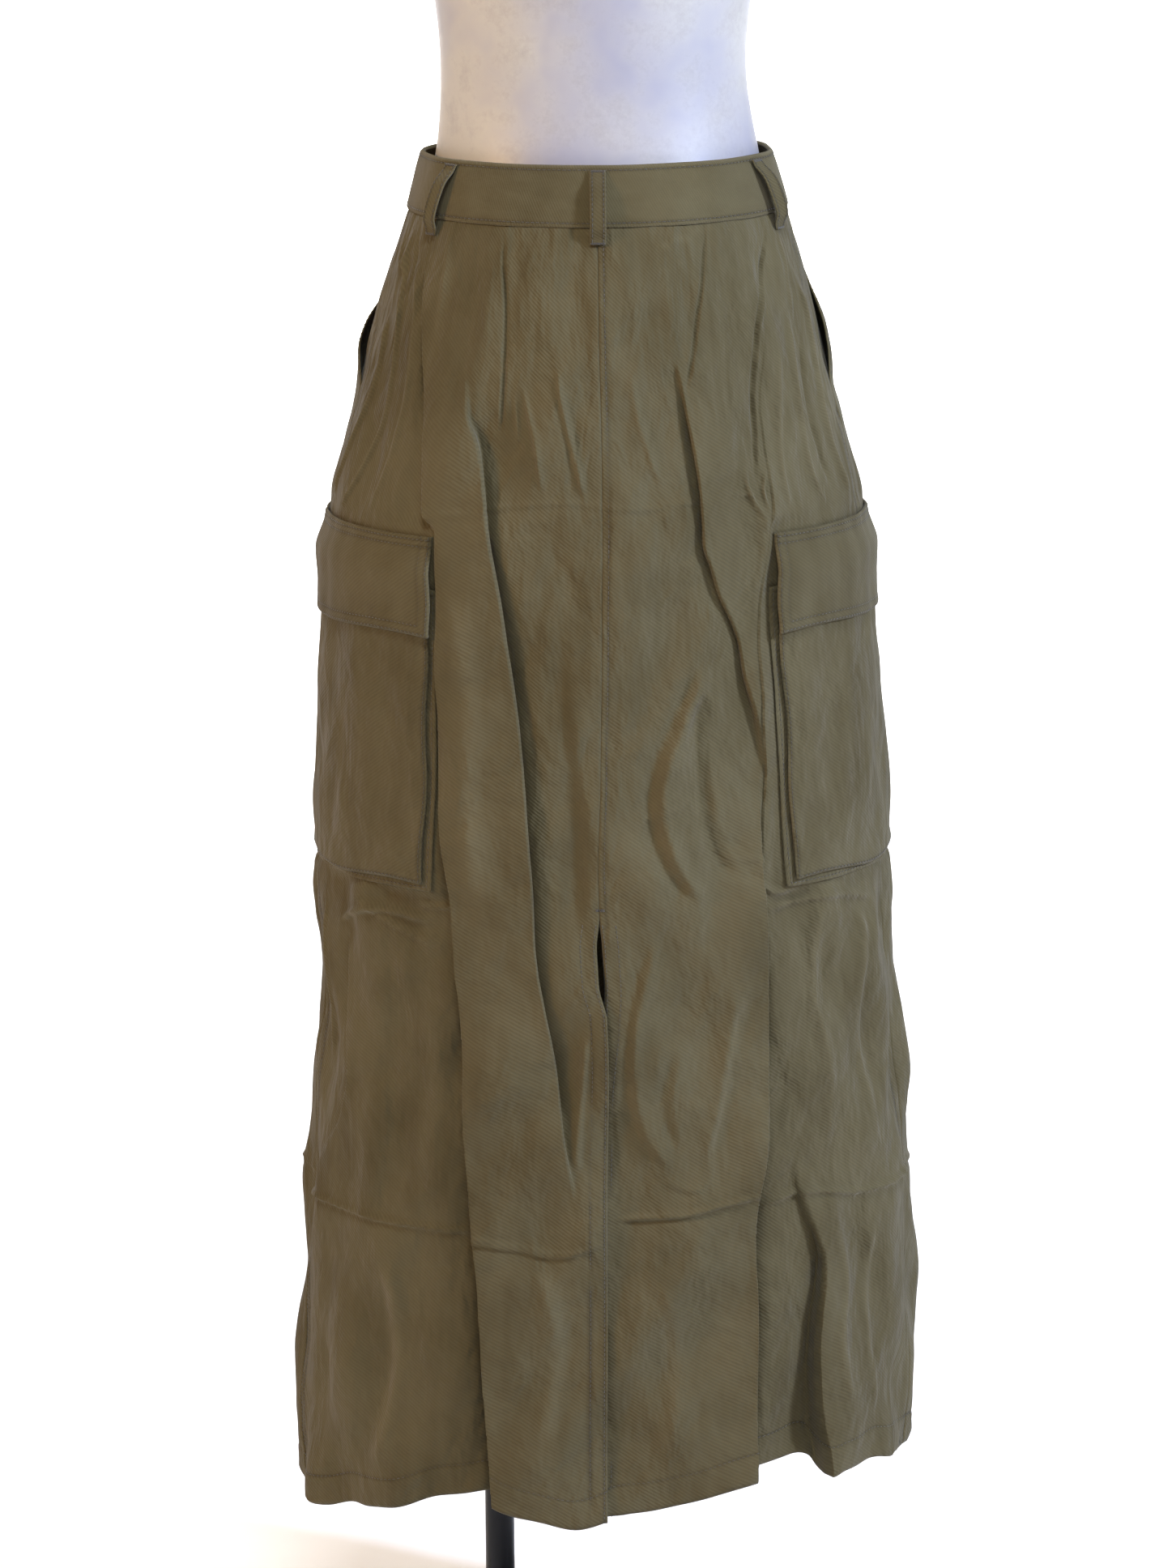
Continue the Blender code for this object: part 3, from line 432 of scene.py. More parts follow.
# Creases run down through (level, angle) marks, or across through (angle, level) marks. height is a
# ridge where it is positive, step lifts the side with the larger angle or level, and all three
# sizes are in mm.
Crease = namedtuple("Crease", "way marks height step width")
CREASES = (
    # The darts' sewn lines.
    Crease("down", ((1.002, -29.2), (0.942, -24.4), (0.867, -23.1)), -1.0, -1.1, 1.5),
    Crease("down", ((1.002, -59.5), (0.937, -51.4), (0.891, -46.5)), -1.0, 1.4, 1.8),
    Crease("down", ((1.002, 34.0), (0.966, 29.7), (0.926, 25.4), (0.896, 22.6)), -1.0, 1.1, 1.6),
    Crease("down", ((1.002, 60.5), (0.936, 46.8), (0.886, 41.2), (0.839, 37.7)), -0.9, 1.2, 2.2),
    # Ropes and tucks between the band and the left pocket.
    Crease(
        "down",
        ((0.984, -70.0), (0.948, -63.3), (0.909, -60.0), (0.866, -61.0), (0.833, -65.0), (0.806, -71.1)),
        1.9, 0.4, 2.0,
    ),
    Crease("down", ((0.940, -72.0), (0.890, -69.5), (0.850, -73.0), (0.812, -80.0)), 1.9, 0.0, 2.0),
    Crease(
        "down", ((0.975, -60.5), (0.936, -55.0), (0.895, -52.6), (0.852, -54.0), (0.809, -58.0)),
        1.0, 0.3, 3.0,
    ),
    Crease("down", ((1.002, -76.0), (0.985, -74.5), (0.960, -70.0)), 1.6, 0.0, 1.7),
    Crease("down", ((1.002, -70.5), (0.985, -69.0), (0.955, -66.0)), 1.5, 0.0, 1.7),
    Crease("down", ((1.002, -66.0), (0.980, -64.0), (0.945, -60.0)), -1.3, 0.0, 1.8),
    Crease("down", ((1.002, -50.0), (0.975, -47.0), (0.930, -44.0)), 0.8, 0.4, 3.0),
    Crease("down", ((1.002, 66.0), (0.975, 64.0), (0.930, 63.0)), 1.1, 0.0, 2.2),
    Crease("down", ((0.960, 70.0), (0.918, 71.0), (0.867, 67.0), (0.815, 70.0)), 1.8, 0.6, 2.8),
    Crease("down", ((0.940, 60.0), (0.870, 55.0), (0.830, 56.0), (0.812, 60.0)), 1.4, 0.8, 3.4),
    Crease("down", ((0.930, 66.0), (0.880, 61.0), (0.820, 64.0)), -1.2, 0.5, 3.0),
    Crease("down", ((0.925, 53.0), (0.880, 48.0), (0.833, 44.5), (0.812, 45.5)), 1.3, 0.5, 3.0),
    # The pucker between the right lap and its pocket.
    Crease("down", ((0.850, 35.0), (0.834, 34.6), (0.820, 36.4), (0.806, 40.0)), 1.6, 1.0, 1.9),
    Crease("down", ((0.846, 41.0), (0.832, 38.6), (0.815, 39.4)), 1.3, -0.8, 1.7),
    Crease("across", ((27.0, 0.836), (32.0, 0.830), (38.5, 0.829)), 1.0, 0.6, 2.0),
    # Short drags beside the centre seam.
    Crease("down", ((0.905, -18.8), (0.870, -14.6), (0.832, -12.0)), 1.0, 1.1, 2.6),
    Crease("down", ((0.920, -10.5), (0.893, -8.2), (0.861, -5.4), (0.826, -2.4)), 1.2, 1.1, 2.4),
    Crease("down", ((0.900, -21.0), (0.880, -19.0), (0.862, -18.6)), 1.0, 0.6, 1.8),
    Crease("down", ((0.912, 8.0), (0.880, 9.5), (0.835, 14.0)), 0.8, 0.7, 3.5),
    Crease("across", ((13.0, 0.984), (22.0, 0.9925), (34.0, 0.9985)), 1.2, 1.0, 2.6),
    Crease("across", ((16.0, 0.974), (24.0, 0.979), (31.0, 0.990)), 0.7, 0.6, 2.4),
    Crease("down", ((0.770, -30.0), (0.700, -27.0), (0.640, -26.5), (0.560, -24.0)), 1.2, -0.6, 8.0),
    Crease("down", ((0.740, -8.0), (0.660, -6.5), (0.590, -4.6), (0.540, -6.0)), -1.4, 0.8, 8.0),
    # The storage creases, and what the folds make of them.
    Crease(
        "across", ((-84.0, 0.338), (-36.2, 0.334), (-23.9, 0.333), (-8.2, 0.325), (-0.5, 0.334)),
        0.9, 1.5, 2.6,
    ),
    Crease("across", ((-0.5, 0.347), (14.0, 0.352), (27.7, 0.362)), 1.1, 1.6, 2.6),
    Crease("across", ((29.0, 0.349), (37.7, 0.357), (55.0, 0.349), (80.0, 0.352)), 1.3, 1.5, 2.8),
    Crease("across", ((-38.0, 0.815), (-6.5, 0.827), (10.0, 0.823), (28.0, 0.829)), 0.2, 0.45, 3.0),
    Crease("across", ((-180.0, 0.350), (-140.0, 0.344), (-100.0, 0.352), (-84.0, 0.345)), 0.4, 0.9, 3.2),
    Crease("across", ((79.0, 0.352), (110.0, 0.343), (150.0, 0.352), (180.0, 0.349)), 0.4, 0.9, 3.2),
    Crease("across", ((-180.0, 0.826), (-150.0, 0.820), (-118.0, 0.828)), 0.5, 0.6, 3.0),
    Crease("across", ((112.0, 0.832), (150.0, 0.822), (180.0, 0.826)), 0.5, 0.6, 3.0),
    # The dents to the right of the seam and the slit.
    Crease(
        "down", ((0.722, 23.0), (0.690, 17.5), (0.655, 12.3), (0.630, 11.0), (0.595, 13.5), (0.560, 19.0)),
        0.6, 3.0, 7.5,
    ),
    Crease("down", ((0.705, 22.5), (0.655, 21.0), (0.610, 23.0), (0.575, 26.0)), -1.6, 1.6, 8.0),
    Crease("down", ((0.540, 9.5), (0.500, 5.4), (0.449, 3.8), (0.410, 5.6), (0.382, 10.5)), 0.5, 1.6, 5.5),
    Crease("across", ((8.0, 0.380), (12.0, 0.371), (16.2, 0.368), (20.0, 0.376)), 0.5, 1.0, 3.6),
    Crease("down", ((0.505, 25.5), (0.440, 22.0), (0.386, 18.6)), 0.8, -1.3, 5.0),
    Crease("down", ((0.470, 13.0), (0.430, 10.5), (0.390, 13.0)), -1.0, 1.3, 6.0),
    Crease("across", ((4.0, 0.612), (14.0, 0.628), (25.0, 0.620)), 0.7, 0.7, 3.0),
    Crease("across", ((20.0, 0.585), (28.0, 0.592), (36.0, 0.580)), 1.0, 1.0, 3.0),
    # Wrinkles round the feet of the cargo pockets.
    Crease("across", ((-70.0, 0.530), (-52.0, 0.549), (-35.0, 0.545)), 1.6, 1.2, 3.4),
    Crease("across", ((-60.0, 0.560), (-47.0, 0.541), (-33.0, 0.528)), 1.4, 0.9, 3.0),
    Crease("across", ((-44.0, 0.563), (-36.0, 0.556), (-28.0, 0.560)), 1.1, 0.8, 2.8),
    Crease("across", ((29.0, 0.586), (35.0, 0.567), (44.0, 0.564)), 1.9, 1.0, 3.0),
    Crease("across", ((33.0, 0.552), (50.0, 0.557), (68.0, 0.546)), 1.3, 1.0, 3.8),
    Crease("down", ((0.556, 47.0), (0.500, 44.0), (0.430, 47.0), (0.380, 45.0)), 1.4, 1.0, 6.0),
    Crease("down", ((0.550, 62.0), (0.480, 59.0), (0.400, 62.0)), 1.4, -1.0, 7.0),
    Crease("down", ((0.545, -76.0), (0.490, -74.5), (0.430, -77.5)), 1.6, 0.8, 3.2),
    Crease("down", ((0.335, 47.5), (0.300, 50.0), (0.250, 48.0), (0.200, 50.0)), 1.5, 0.8, 4.0),
    Crease("down", ((0.330, 60.0), (0.270, 57.0), (0.190, 60.0)), 1.2, -0.6, 6.0),
    Crease("down", ((0.480, -4.4), (0.430, -5.6), (0.380, -6.0)), 0.9, -1.0, 3.4),
    Crease("down", ((0.310, 9.0), (0.250, 12.0), (0.180, 10.0)), 1.2, 1.2, 8.0),
    Crease("down", ((0.320, -12.0), (0.260, -9.0), (0.190, -11.0)), 1.2, -1.0, 8.0),
    Crease("down", ((0.310, -47.0), (0.250, -44.0), (0.160, -48.0)), 1.6, 1.0, 9.0),
    # The front's own, on the side that is not seen from behind.
    Crease("down", ((0.900, -160.0), (0.820, -163.0), (0.740, -161.0)), 1.2, 1.0, 4.0),
    Crease("down", ((0.700, 168.0), (0.620, 164.0), (0.550, 167.0)), 1.3, 1.5, 6.0),
    Crease("down", ((0.940, 130.0), (0.880, 126.0), (0.820, 128.0)), 1.4, 0.5, 3.0),
    Crease("down", ((1.002, 150.0), (0.965, 148.0), (0.920, 149.0)), -1.0, 1.0, 1.8),
    Crease("down", ((1.002, -150.0), (0.965, -148.0), (0.920, -149.0)), -1.0, -1.0, 1.8),
    Crease("across", ((-125.0, 0.552), (-110.0, 0.562), (-98.0, 0.553)), 1.5, 1.0, 3.4),
    Crease("across", ((100.0, 0.556), (113.0, 0.548), (127.0, 0.558)), 1.5, 1.0, 3.4),
    Crease("down", ((0.520, -170.0), (0.450, -166.0), (0.390, -169.0)), 1.2, 1.5, 5.0),
    Crease("down", ((0.320, 135.0), (0.250, 132.0), (0.170, 136.0)), 1.4, 1.0, 8.0),
    Crease("down", ((0.320, -133.0), (0.260, -130.0), (0.180, -134.0)), 1.4, -1.0, 8.0),
)
CREASE_RISE = 1.6  # their heights and steps are all multiplied by this
CREASE_SHARP = 0.82  # their widths are all multiplied by this
CREASE_FADE = 0.018  # each crease dies away over this length at both ends
FULL_ROLL = 8 * MM  # a fold of this rise rolls over by its whole roll
FOLD_DIP, FOLD_DIP_WIDE = 0.40, 7.0  # the sharp dip at a fold's foot, as a share of its rise, and in mm
ROLL_REACH = 14.0  # how far past its edge a fold's roll still carries the cloth, in mm
HIP_R = 0.17  # turns an angle into metres round the flat cloth
BROAD_RIPPLE, FINE_RIPPLE, WASH_CREASE = 2.1 * MM, 0.60 * MM, 1.05 * MM


def radius_at(level):
    """The skirt's mean radius at a level, which turns degrees into metres."""
    half, _, back, _ = section(SKIRT, level)
    return (half + back) / 2


def in_pocket(angle, level, start, full, top):
    """1 well inside a cargo pocket and 0 outside: it rises from start to full metres in from the
    pocket's sides and foot, and from top down over the same distance."""
    inside = 0.0
    for pocket in POCKETS:
        turn = (angle - pocket.back_edge) * np.sign(pocket.back_edge)
        near = np.minimum(turn, POCKET_TURN - turn) / POCKET_PER_METRE
        inside = inside + ease(near, start, full)
    return inside * ease(level, POCKET_FOOT + start, POCKET_FOOT + full) * ease(top - level, start, full)


def fold_path(fold, level):
    """A fold's angle, rise and share of its roll at a level. Its marks give the rolled edge, so the
    fold itself starts that much further to its proud side."""
    levels, angles, rises = np.array(fold.marks)[::-1].T
    high = np.interp(level, levels, rises) * MM
    share = np.clip(high / FULL_ROLL, 0.0, 1.0)
    back = fold.proud * fold.roll * MM * share / np.radians(radius_at(level))
    return through(level, levels, angles) + back, high, share


def folds_at(angle, level):
    """How far the folds lift the cloth, and how far round they carry it, in degrees. A fold's proud
    side keeps a share of its rise, and its other side falls away to a dip below the form."""
    rise = np.zeros(np.broadcast(angle, level).shape)
    slide = np.zeros_like(rise)
    radius = radius_at(level)
    for fold in FOLDS:
        path, high, share = fold_path(fold, level)
        away = (angle - path) * fold.proud * np.radians(radius) / MM
        flank = np.exp(-((np.minimum(away, 0.0) / fold.edge) ** 2))
        dip = (1.0 - fold.crest) * np.exp(-((np.abs(away) / fold.back) ** 1.5))
        dip = dip + FOLD_DIP * np.exp(-((np.abs(away) / FOLD_DIP_WIDE) ** 2))
        proud = fold.crest * np.exp(-((np.abs(away) / fold.soft) ** 1.5))
        rise += high * np.where(away > 0, proud, flank - dip)
        rolled = flank * np.exp(-((np.maximum(away, 0.0) / ROLL_REACH) ** 2))
        slide -= fold.proud * fold.roll * MM * share * rolled / np.radians(radius)
    open_cloth = 1.0 - in_pocket(angle, level, -0.014, -0.003, FLAP_TOP)
    return rise * open_cloth, slide * open_cloth


def creases_at(angle, level):
    """How far the creases lift the cloth, and how much paler it is along their crests, from 0 to 1:
    partly rubbed wear, partly painted highlight. Across its line a crease is a bell, with a second,
    odd bell for its step."""
    rise = np.zeros(np.broadcast(angle, level).shape)
    wear_and_painted_shading = np.zeros_like(rise)
    per_degree = np.radians(radius_at(level))
    for crease in CREASES:
        start, line = np.array(crease.marks).T
        if crease.way == "down":
            at, unit = level, 1.0
            away = (angle - through(at, start[::-1], line[::-1])) * per_degree
            low, high = start[-1], start[0]
        else:
            at, unit = angle, per_degree
            away = level - through(at, start, line)
            low, high = start[0], start[-1]
        ends = np.minimum(at - low, high - at) * unit
        window = ease(ends, 0.0, CREASE_FADE)
        across = away / (CREASE_SHARP * crease.width * MM)
        bell = np.exp(-(across**2)) * window
        rise += CREASE_RISE * (crease.height + crease.step * across * 1.6) * MM * bell
        # Paler along a ridge's crest: partly rubbed wear, partly painted highlight.
        wear_and_painted_shading += 0.5 * max(crease.height, 0.0) * np.exp(-(across**2) * 2.0) * window
    return rise, np.clip(wear_and_painted_shading, 0.0, 1.0)


def ripple(across, along, seed, count, longest, shortest, size):
    """Soft unevenness: a sum of waves with seeded directions and lengths, mostly lengthwise."""
    pick = np.random.default_rng(seed)
    total = 0.0
    for _ in range(count):
        length = longest * (shortest / longest) ** pick.random()
        turn = pick.normal(0.0, 0.45)
        phase = pick.random() * 2 * pi
        wave = np.cos(2 * pi / length * (across * np.cos(turn) + along * np.sin(turn)) + phase)
        total = total + wave * (length / longest) ** 0.7
    return total * size / count**0.5


def crumple(across, along, seed, count, size):
    """Faint wash creases: folded waves in seeded directions, whose sharp lines wander and fade."""
    pick = np.random.default_rng(seed)
    total = 0.0
    for k in range(count):
        length = 0.060 + 0.080 * pick.random()
        turn = pick.normal(0.0, 0.7)
        wander = ripple(across, along, seed + 10 * k, 4, 0.200, 0.080, 14 * MM)
        fade = 0.5 + ripple(across, along, seed + 10 * k + 5, 4, 0.300, 0.150, 0.5)
        phase = pi / length * (across * np.cos(turn) + along * np.sin(turn) + wander)
        total = total + (np.abs(np.sin(phase)) - 0.64) * np.clip(fade, 0.0, 1.2)
    return total * size


def worn(angle, level, out=0.0, with_creases=True):
    """Points of the worn cloth and how much paler each is along crease crests, partly rubbed wear and
    partly painted highlight: the ellipse, lifted by its folds, creases and unevenness, and moved out."""
    angle, level = np.broadcast_arrays(np.asarray(angle, float), np.asarray(level, float))
    rise, slide = folds_at(angle, level)
    across = np.radians(angle) * HIP_R
    loose = 0.9 + 1.1 * (1.0 - ease(level, 0.40, 0.85))
    uneven = ripple(across, level, 5, 12, 0.120, 0.045, BROAD_RIPPLE) * loose
    uneven = uneven + ripple(across, level, 8, 16, 0.045, 0.016, FINE_RIPPLE)
    uneven = uneven + crumple(across, level, 14, 10, WASH_CREASE) * (0.6 + 0.4 * loose)
    uneven = uneven * ease(180.0 - np.abs(angle), 0.0, 10.0)  # both fronts meet level at 180 degrees
    wear_and_painted_shading = 0.0
    if with_creases:
        lift, wear_and_painted_shading = creases_at(angle, level)
        uneven = uneven + lift
    uneven = uneven * (1.0 - 0.8 * ease(level, 0.965, 1.000))  # the band holds it
    uneven = uneven * (1.0 - in_pocket(angle, level, -0.012, -0.002, FLAP_TOP))
    return ellipse(angle + slide, level, rise + uneven + out, SKIRT), wear_and_painted_shading


TWILL_THICK = 0.0009
WALE_PITCH, WALE_TURN = 0.0020, -52.0
WAVE_PITCH = 0.314  # the pitch of a wave texture at scale 1, in metres


def twill(name, crushed):
    """Washed cotton twill: steep diagonal wales, slubs and a dry, slightly napped face, with cloudy
    fading and streaks down the warp, paler along crease crests (partly rubbed wear, partly painted
    highlight) and at worn edges, and with painted shade along the stitching. The wales
    are 2 mm apart, about three times their real size, so that they show. crushed is the depth of the
    small soft dents that washing leaves."""
    material, tree, shader = new_material(name)
    cut = add_node(tree, "UVMap", "UV", uv_map="cut")
    tilt = add_node(tree, "Mapping", "Vector", {"Vector": cut, "Rotation": (0.0, 0.0, radians(WALE_TURN))})
    slub_place, streak_place, dent_place = (
        add_node(tree, "Mapping", "Vector", {"Vector": cut, "Scale": (1.0, along, 1.0)})
        for along in (0.22, 0.14, 0.50)
    )
    wales = add_node(tree, "TexWave", "Fac", {
        "Vector": tilt, "Scale": WAVE_PITCH / WALE_PITCH,
        "Distortion": 0.6, "Detail": 1.0, "Detail Scale": 3.0,
    })
    slubs = add_node(tree, "TexNoise", "Fac", {"Vector": slub_place, "Scale": 620.0, "Detail": 3.0})
    streaks = add_node(tree, "TexNoise", "Fac", {"Vector": streak_place, "Scale": 75.0, "Detail": 4.0})
    dents = add_node(tree, "TexNoise", "Fac", {
        "Vector": dent_place, "Scale": 40.0, "Detail": 3.2, "Roughness": 0.5, "Distortion": 0.30,
    })
    clouds = add_node(tree, "TexNoise", "Fac", {
        "Vector": add_node(tree, "TexCoord", "Object"), "Scale": 11.0, "Detail": 5.0, "Roughness": 0.55,
    })
    wear_and_painted_shading = add_node(tree, "Attribute", "Fac", attribute_name="wear_and_painted_shading")
    colour = layered(
        tree, "#38301b",
        (clouds, 0.28, 0.66, 0.15, 1.0, "#4e4732"),
        (streaks, 0.38, 0.68, 0.0, 0.60, "#4e4732"),
        # Paler along crease crests, partly rubbed wear and partly painted highlight, and paler at worn
        # edges.
        (wear_and_painted_shading, 0.0, 1.0, 0.0, 0.22, "#6a624b"),
        # Painted shade along the rows of stitches, where the cloth is drawn in.
        (wear_and_painted_shading, -1.0, 0.0, 0.42, 0.0, "#1f1a10"),
    )
    shade = add_node(tree, "MapRange", "Result", {"Value": wales, "To Min": 0.90, "To Max": 1.07})
    grey = add_node(tree, "CombineColor", "Color", {"Red": shade, "Green": shade, "Blue": shade})
    dented = add_node(tree, "Bump", "Normal", {"Height": dents, "Strength": 1.0, "Distance": crushed})
    weave = add_node(tree, "Math", "Value", {0: wales, 1: slubs}, operation="ADD")
    set_inputs(tree, shader, {
        "Base Color": add_node(
            tree, "Mix", 2, {0: 1.0, 6: colour, 7: grey}, data_type="RGBA", blend_type="MULTIPLY"
        ),
        "Normal": add_node(
            tree, "Bump", "Normal",
            {"Height": weave, "Strength": 0.45, "Distance": 0.32 * MM, "Normal": dented},
        ),
        "Roughness": 0.9,
        "Sheen Weight": 0.06,
        "Sheen Roughness": 0.5,
        "IOR": 1.45,
        "Specular IOR Level": 0.12,
    })
    return material


olive = twill("washed_olive_twill", 9.0 * MM)
pressed_olive = twill("pressed_olive_twill", 2.0 * MM)  # interfaced or doubled


def add_cloth(name, points, cut, wear_and_painted_shading, nodes, thick=TWILL_THICK, material=olive):
    """A thin cloth shell in place of its nodes, with its wall on the inner side."""
    piece = add_grid(name, points, uv=cut, wear_and_painted_shading=wear_and_painted_shading)
    wall = piece.modifiers.new("wall", "SOLIDIFY")
    wall.thickness = thick
    wall.offset = -1.0
    finish(piece, material, "olive_twill", *nodes)
    return piece


# ---- The stitching -------------------------------------------------------------------------------
# Matching cotton thread, lockstitched. A row of stitches follows a line on the cloth. Each is a
# small four-sided spindle with both ends sunk in the cloth, and all of a seam's are one mesh.
STITCH_PITCH, STITCH_LONG, STITCH_WIDE = 0.0033, 0.0025, 0.00055
STITCH_SINK, STITCH_RISE = 0.0001, 0.00012  # its tips' depth and its middle's height on the face


def cotton_thread():
    """Mercerised cotton thread, darker than the cloth, with a slight shine and twist."""
    material, tree, shader = new_material("cotton_thread")
    place = add_node(tree, "TexCoord", "Object")
    twist = add_node(tree, "TexNoise", "Fac", {"Vector": place, "Scale": 900.0})
    set_inputs(tree, shader, {
        "Base Color": layered(tree, "#1c170d", (twist, 0.0, 1.0, 0.0, 1.0, "#2f2919")),
        "Normal": add_node(tree, "Bump", "Normal", {"Height": twist, "Strength": 0.2, "Distance": 0.1 * MM}),
        "Roughness": 0.6,
        "Sheen Weight": 0.2,
        "IOR": 1.5,
    })
    return material


thread = cotton_thread()


def spindles(line, out, pitch=STITCH_PITCH, long=STITCH_LONG):
    """Corners of the stitches along a line: centres at even lengths, each with a tip, two rings of
    four and a tip. out is the line a little further out, which gives the face's normal."""
    steps = np.linalg.norm(np.diff(line, axis=0), axis=1)
    run = np.concatenate([[0.0], np.cumsum(steps)])
    count = max(int(run[-1] / pitch), 1)
    centres = (np.arange(count) + 0.5) * run[-1] / count

    def along(values, at):
        """The values at some lengths along the line."""
        return np.stack([np.interp(at, run, values[:, k]) for k in range(3)], 1)

    ahead = along(line, centres + MM) - along(line, centres - MM)
    ahead /= np.linalg.norm(ahead, axis=1, keepdims=True)
    up = along(out - line, centres)
    up -= ahead * (up * ahead).sum(1, keepdims=True)
    up /= np.linalg.norm(up, axis=1, keepdims=True)
    side = np.cross(ahead, up)
    ring = np.array([(1, 0), (0, 1), (-1, 0), (0, -1)]) * (STITCH_WIDE / 2)
    corners = [(-long / 2, 0.0, -STITCH_SINK)]
    for end in (-0.3, 0.3):
        corners += [(long * end, across, high + STITCH_RISE) for across, high in ring]
    corners = np.array([*corners, (long / 2, 0.0, -STITCH_SINK)])
    return (
        along(line, centres)[:, None]
        + corners[None, :, :1] * ahead[:, None]
        + corners[None, :, 1:2] * side[:, None]
        + corners[None, :, 2:] * up[:, None]
    )


def add_stitches(name, rows):
    """One mesh of all the stitches in the rows."""
    points = np.concatenate(rows)
    k = np.arange(4)
    near, far = 1 + k, 5 + k
    around = (k + 1) % 4
    quads = np.stack([near, far, 5 + around, 1 + around], 1)
    first = np.stack([np.zeros(4, int), near, 1 + around], 1)
    last = np.stack([np.full(4, 9), 5 + around, far], 1)
    base = (np.arange(len(points)) * 10)[:, None, None]
    faces = (base + quads).reshape(-1, 4).tolist()
    faces += (base + first).reshape(-1, 3).tolist() + (base + last).reshape(-1, 3).tolist()
    mesh = bpy.data.meshes.new(name)
    mesh.from_pydata(points.reshape(-1, 3).tolist(), [], faces)
    mesh.shade_smooth()
    piece = bpy.data.objects.new(name, mesh)
    bpy.context.scene.collection.objects.link(piece)
    finish(piece, thread, "olive_twill")


# ---- Back panels ---------------------------------------------------------------------------------
# Two lengths of twill joined by a centre seam, topstitched on its right. Below the bartack the seam
# opens into a slit: it gapes at its top, then the hemmed left edge laps over the right one.
SEAM_MARKS = (  # level and angle
    (0.100, 0.2), (0.137, 0.1), (0.211, -0.3), (0.297, -0.8), (0.410, -0.9), (0.498, -0.8), (0.531, -0.9),
    (0.558, -0.9), (0.656, -0.2), (0.735, 0.8), (0.819, 1.2), (0.892, 1.1), (0.993, 0.0),
)
HEM_MARKS = (  # angle and level
    (-180, 0.142), (-150, 0.139), (-120, 0.132), (-90, 0.124), (-76, 0.121), (-70, 0.119), (-60, 0.127),
    (-47, 0.133), (-33, 0.145), (-21, 0.151), (-14, 0.139), (-6, 0.134), (-0.5, 0.137), (3, 0.140),
    (12, 0.146), (22, 0.158), (27, 0.163), (30, 0.166), (36, 0.168), (43, 0.166), (46, 0.156), (50, 0.158),
    (65, 0.155), (80, 0.150), (110, 0.146), (150, 0.144), (180, 0.142),
)
HEM_FLUTTER = ((0.9 * MM, 19.0, 0.0), (0.5 * MM, 31.0, 1.0))  # size, waves in a radian, and phase
HEM_DEEP = 0.021
SLIT_TOP, SLIT_LAP = 0.560, 3.5 * MM
SEWN_DEPTH = 0.40 * MM
EDGE_ROWS = (0.0020, 0.0080)  # the rows of stitches in from a side seam or a pocket's mouth
SLIT_ROWS = (0.0018, 0.0095)  # those in from the slit's edges
CENTRE_ROW = 0.0034  # the one to the right of the centre seam
TACKED = {"pitch": 0.0012, "long": 0.0016}  # the bartack's short, close stitches
MOUTH_FOOT = 0.885  # the foot of the hand pockets' mouths
UNDERLAP, SEAM_GAP = 1.1, 0.1  # a back panel's run under the front, and the gap above it, in degrees


def hem_level(angle):
    """The hem's height round the skirt, with a slight flutter."""
    turn = np.radians(angle)
    flutter = sum(size * np.sin(turn * waves + phase) for size, waves, phase in HEM_FLUTTER)
    return through(angle, *np.array(HEM_MARKS).T) + flutter


def crowded(low, high, count, places, reach, gain):
    """Values from low to high for each row, packed closer round places, which each have a weight."""
    t = np.linspace(0.0, 1.0, 900)
    rows = []
    for k in range(len(low)):
        fine = low[k] + (high[k] - low[k]) * t
        weight = 1.0
        for place, amount in places:
            weight = weight + gain * amount[k] * np.exp(-(((fine - place[k]) / reach) ** 2))
        share = np.concatenate([[0.0], np.cumsum((weight[1:] + weight[:-1]) / 2)])
        rows.append(np.interp(np.linspace(0.0, 1.0, count), share / share[-1], fine))
    return np.array(rows)


def level_rows(foot, top, count):
    """Levels up a panel, closer together at its hem, its storage creases and its pocket's ends."""
    places = [(np.full(1, p), np.ones(1)) for p in (foot + 0.018, 0.345, 0.55, 0.83)]
    return crowded([foot], [top], count, places, 0.018, 1.6)[0]


def lines_at(level):
    """The angle of each fold and lengthwise crease at each level, with a weight that fades past
    its ends."""
    lines = [(fold.marks, fold_path(fold, level)[0], 2.5) for fold in FOLDS]
    for crease in CREASES:
        if crease.way == "down":
            levels, angles = np.array(crease.marks)[::-1].T
            lines.append((crease.marks, through(level, levels, angles), 1.0))
    places = []
    for marks, path, amount in lines:
        past = np.maximum(marks[-1][0] - level, level - marks[0][0])
        places.append((path, amount * (1.0 - ease(past, 0.0, 0.060))))
    return places


def seam_angle(level):
    """The centre seam's angle at a level."""
    return through(level, *np.array(SEAM_MARKS).T)


def as_degrees(metres, level):
    """The turn round the skirt that a distance along the cloth makes at a level."""
    return metres / np.radians(radius_at(level))


def back_centre(level, sign):
    """The centre edge of a back panel: the seam, the gaping top of the slit, then its lap."""
    below = 1.0 - ease(level, 0.470, SLIT_TOP)
    gape = ease(level, 0.488, 0.512) * (1.0 - ease(level, 0.535, SLIT_TOP + 0.001))
    if sign > 0:
        return seam_angle(level) - 0.35 - 1.8 * (1.0 - ease(level, 0.430, 0.500)) + 0.45 * gape
    return seam_angle(level) + 0.05 - 0.95 * gape + 0.25 * below * (1.0 - gape)


def hemmed(level, foot):
    """The hem's turned-up depth: a slightly proud band with a soft step at its stitch line, whose
    folded edge rolls in."""
    above = level - foot
    proud = 0.7 * MM * (1.0 - ease(above, HEM_DEEP - 0.003, HEM_DEEP + 0.002))
    return proud - 1.0 * MM * (1.0 - ease(above, 0.0, 0.0015))


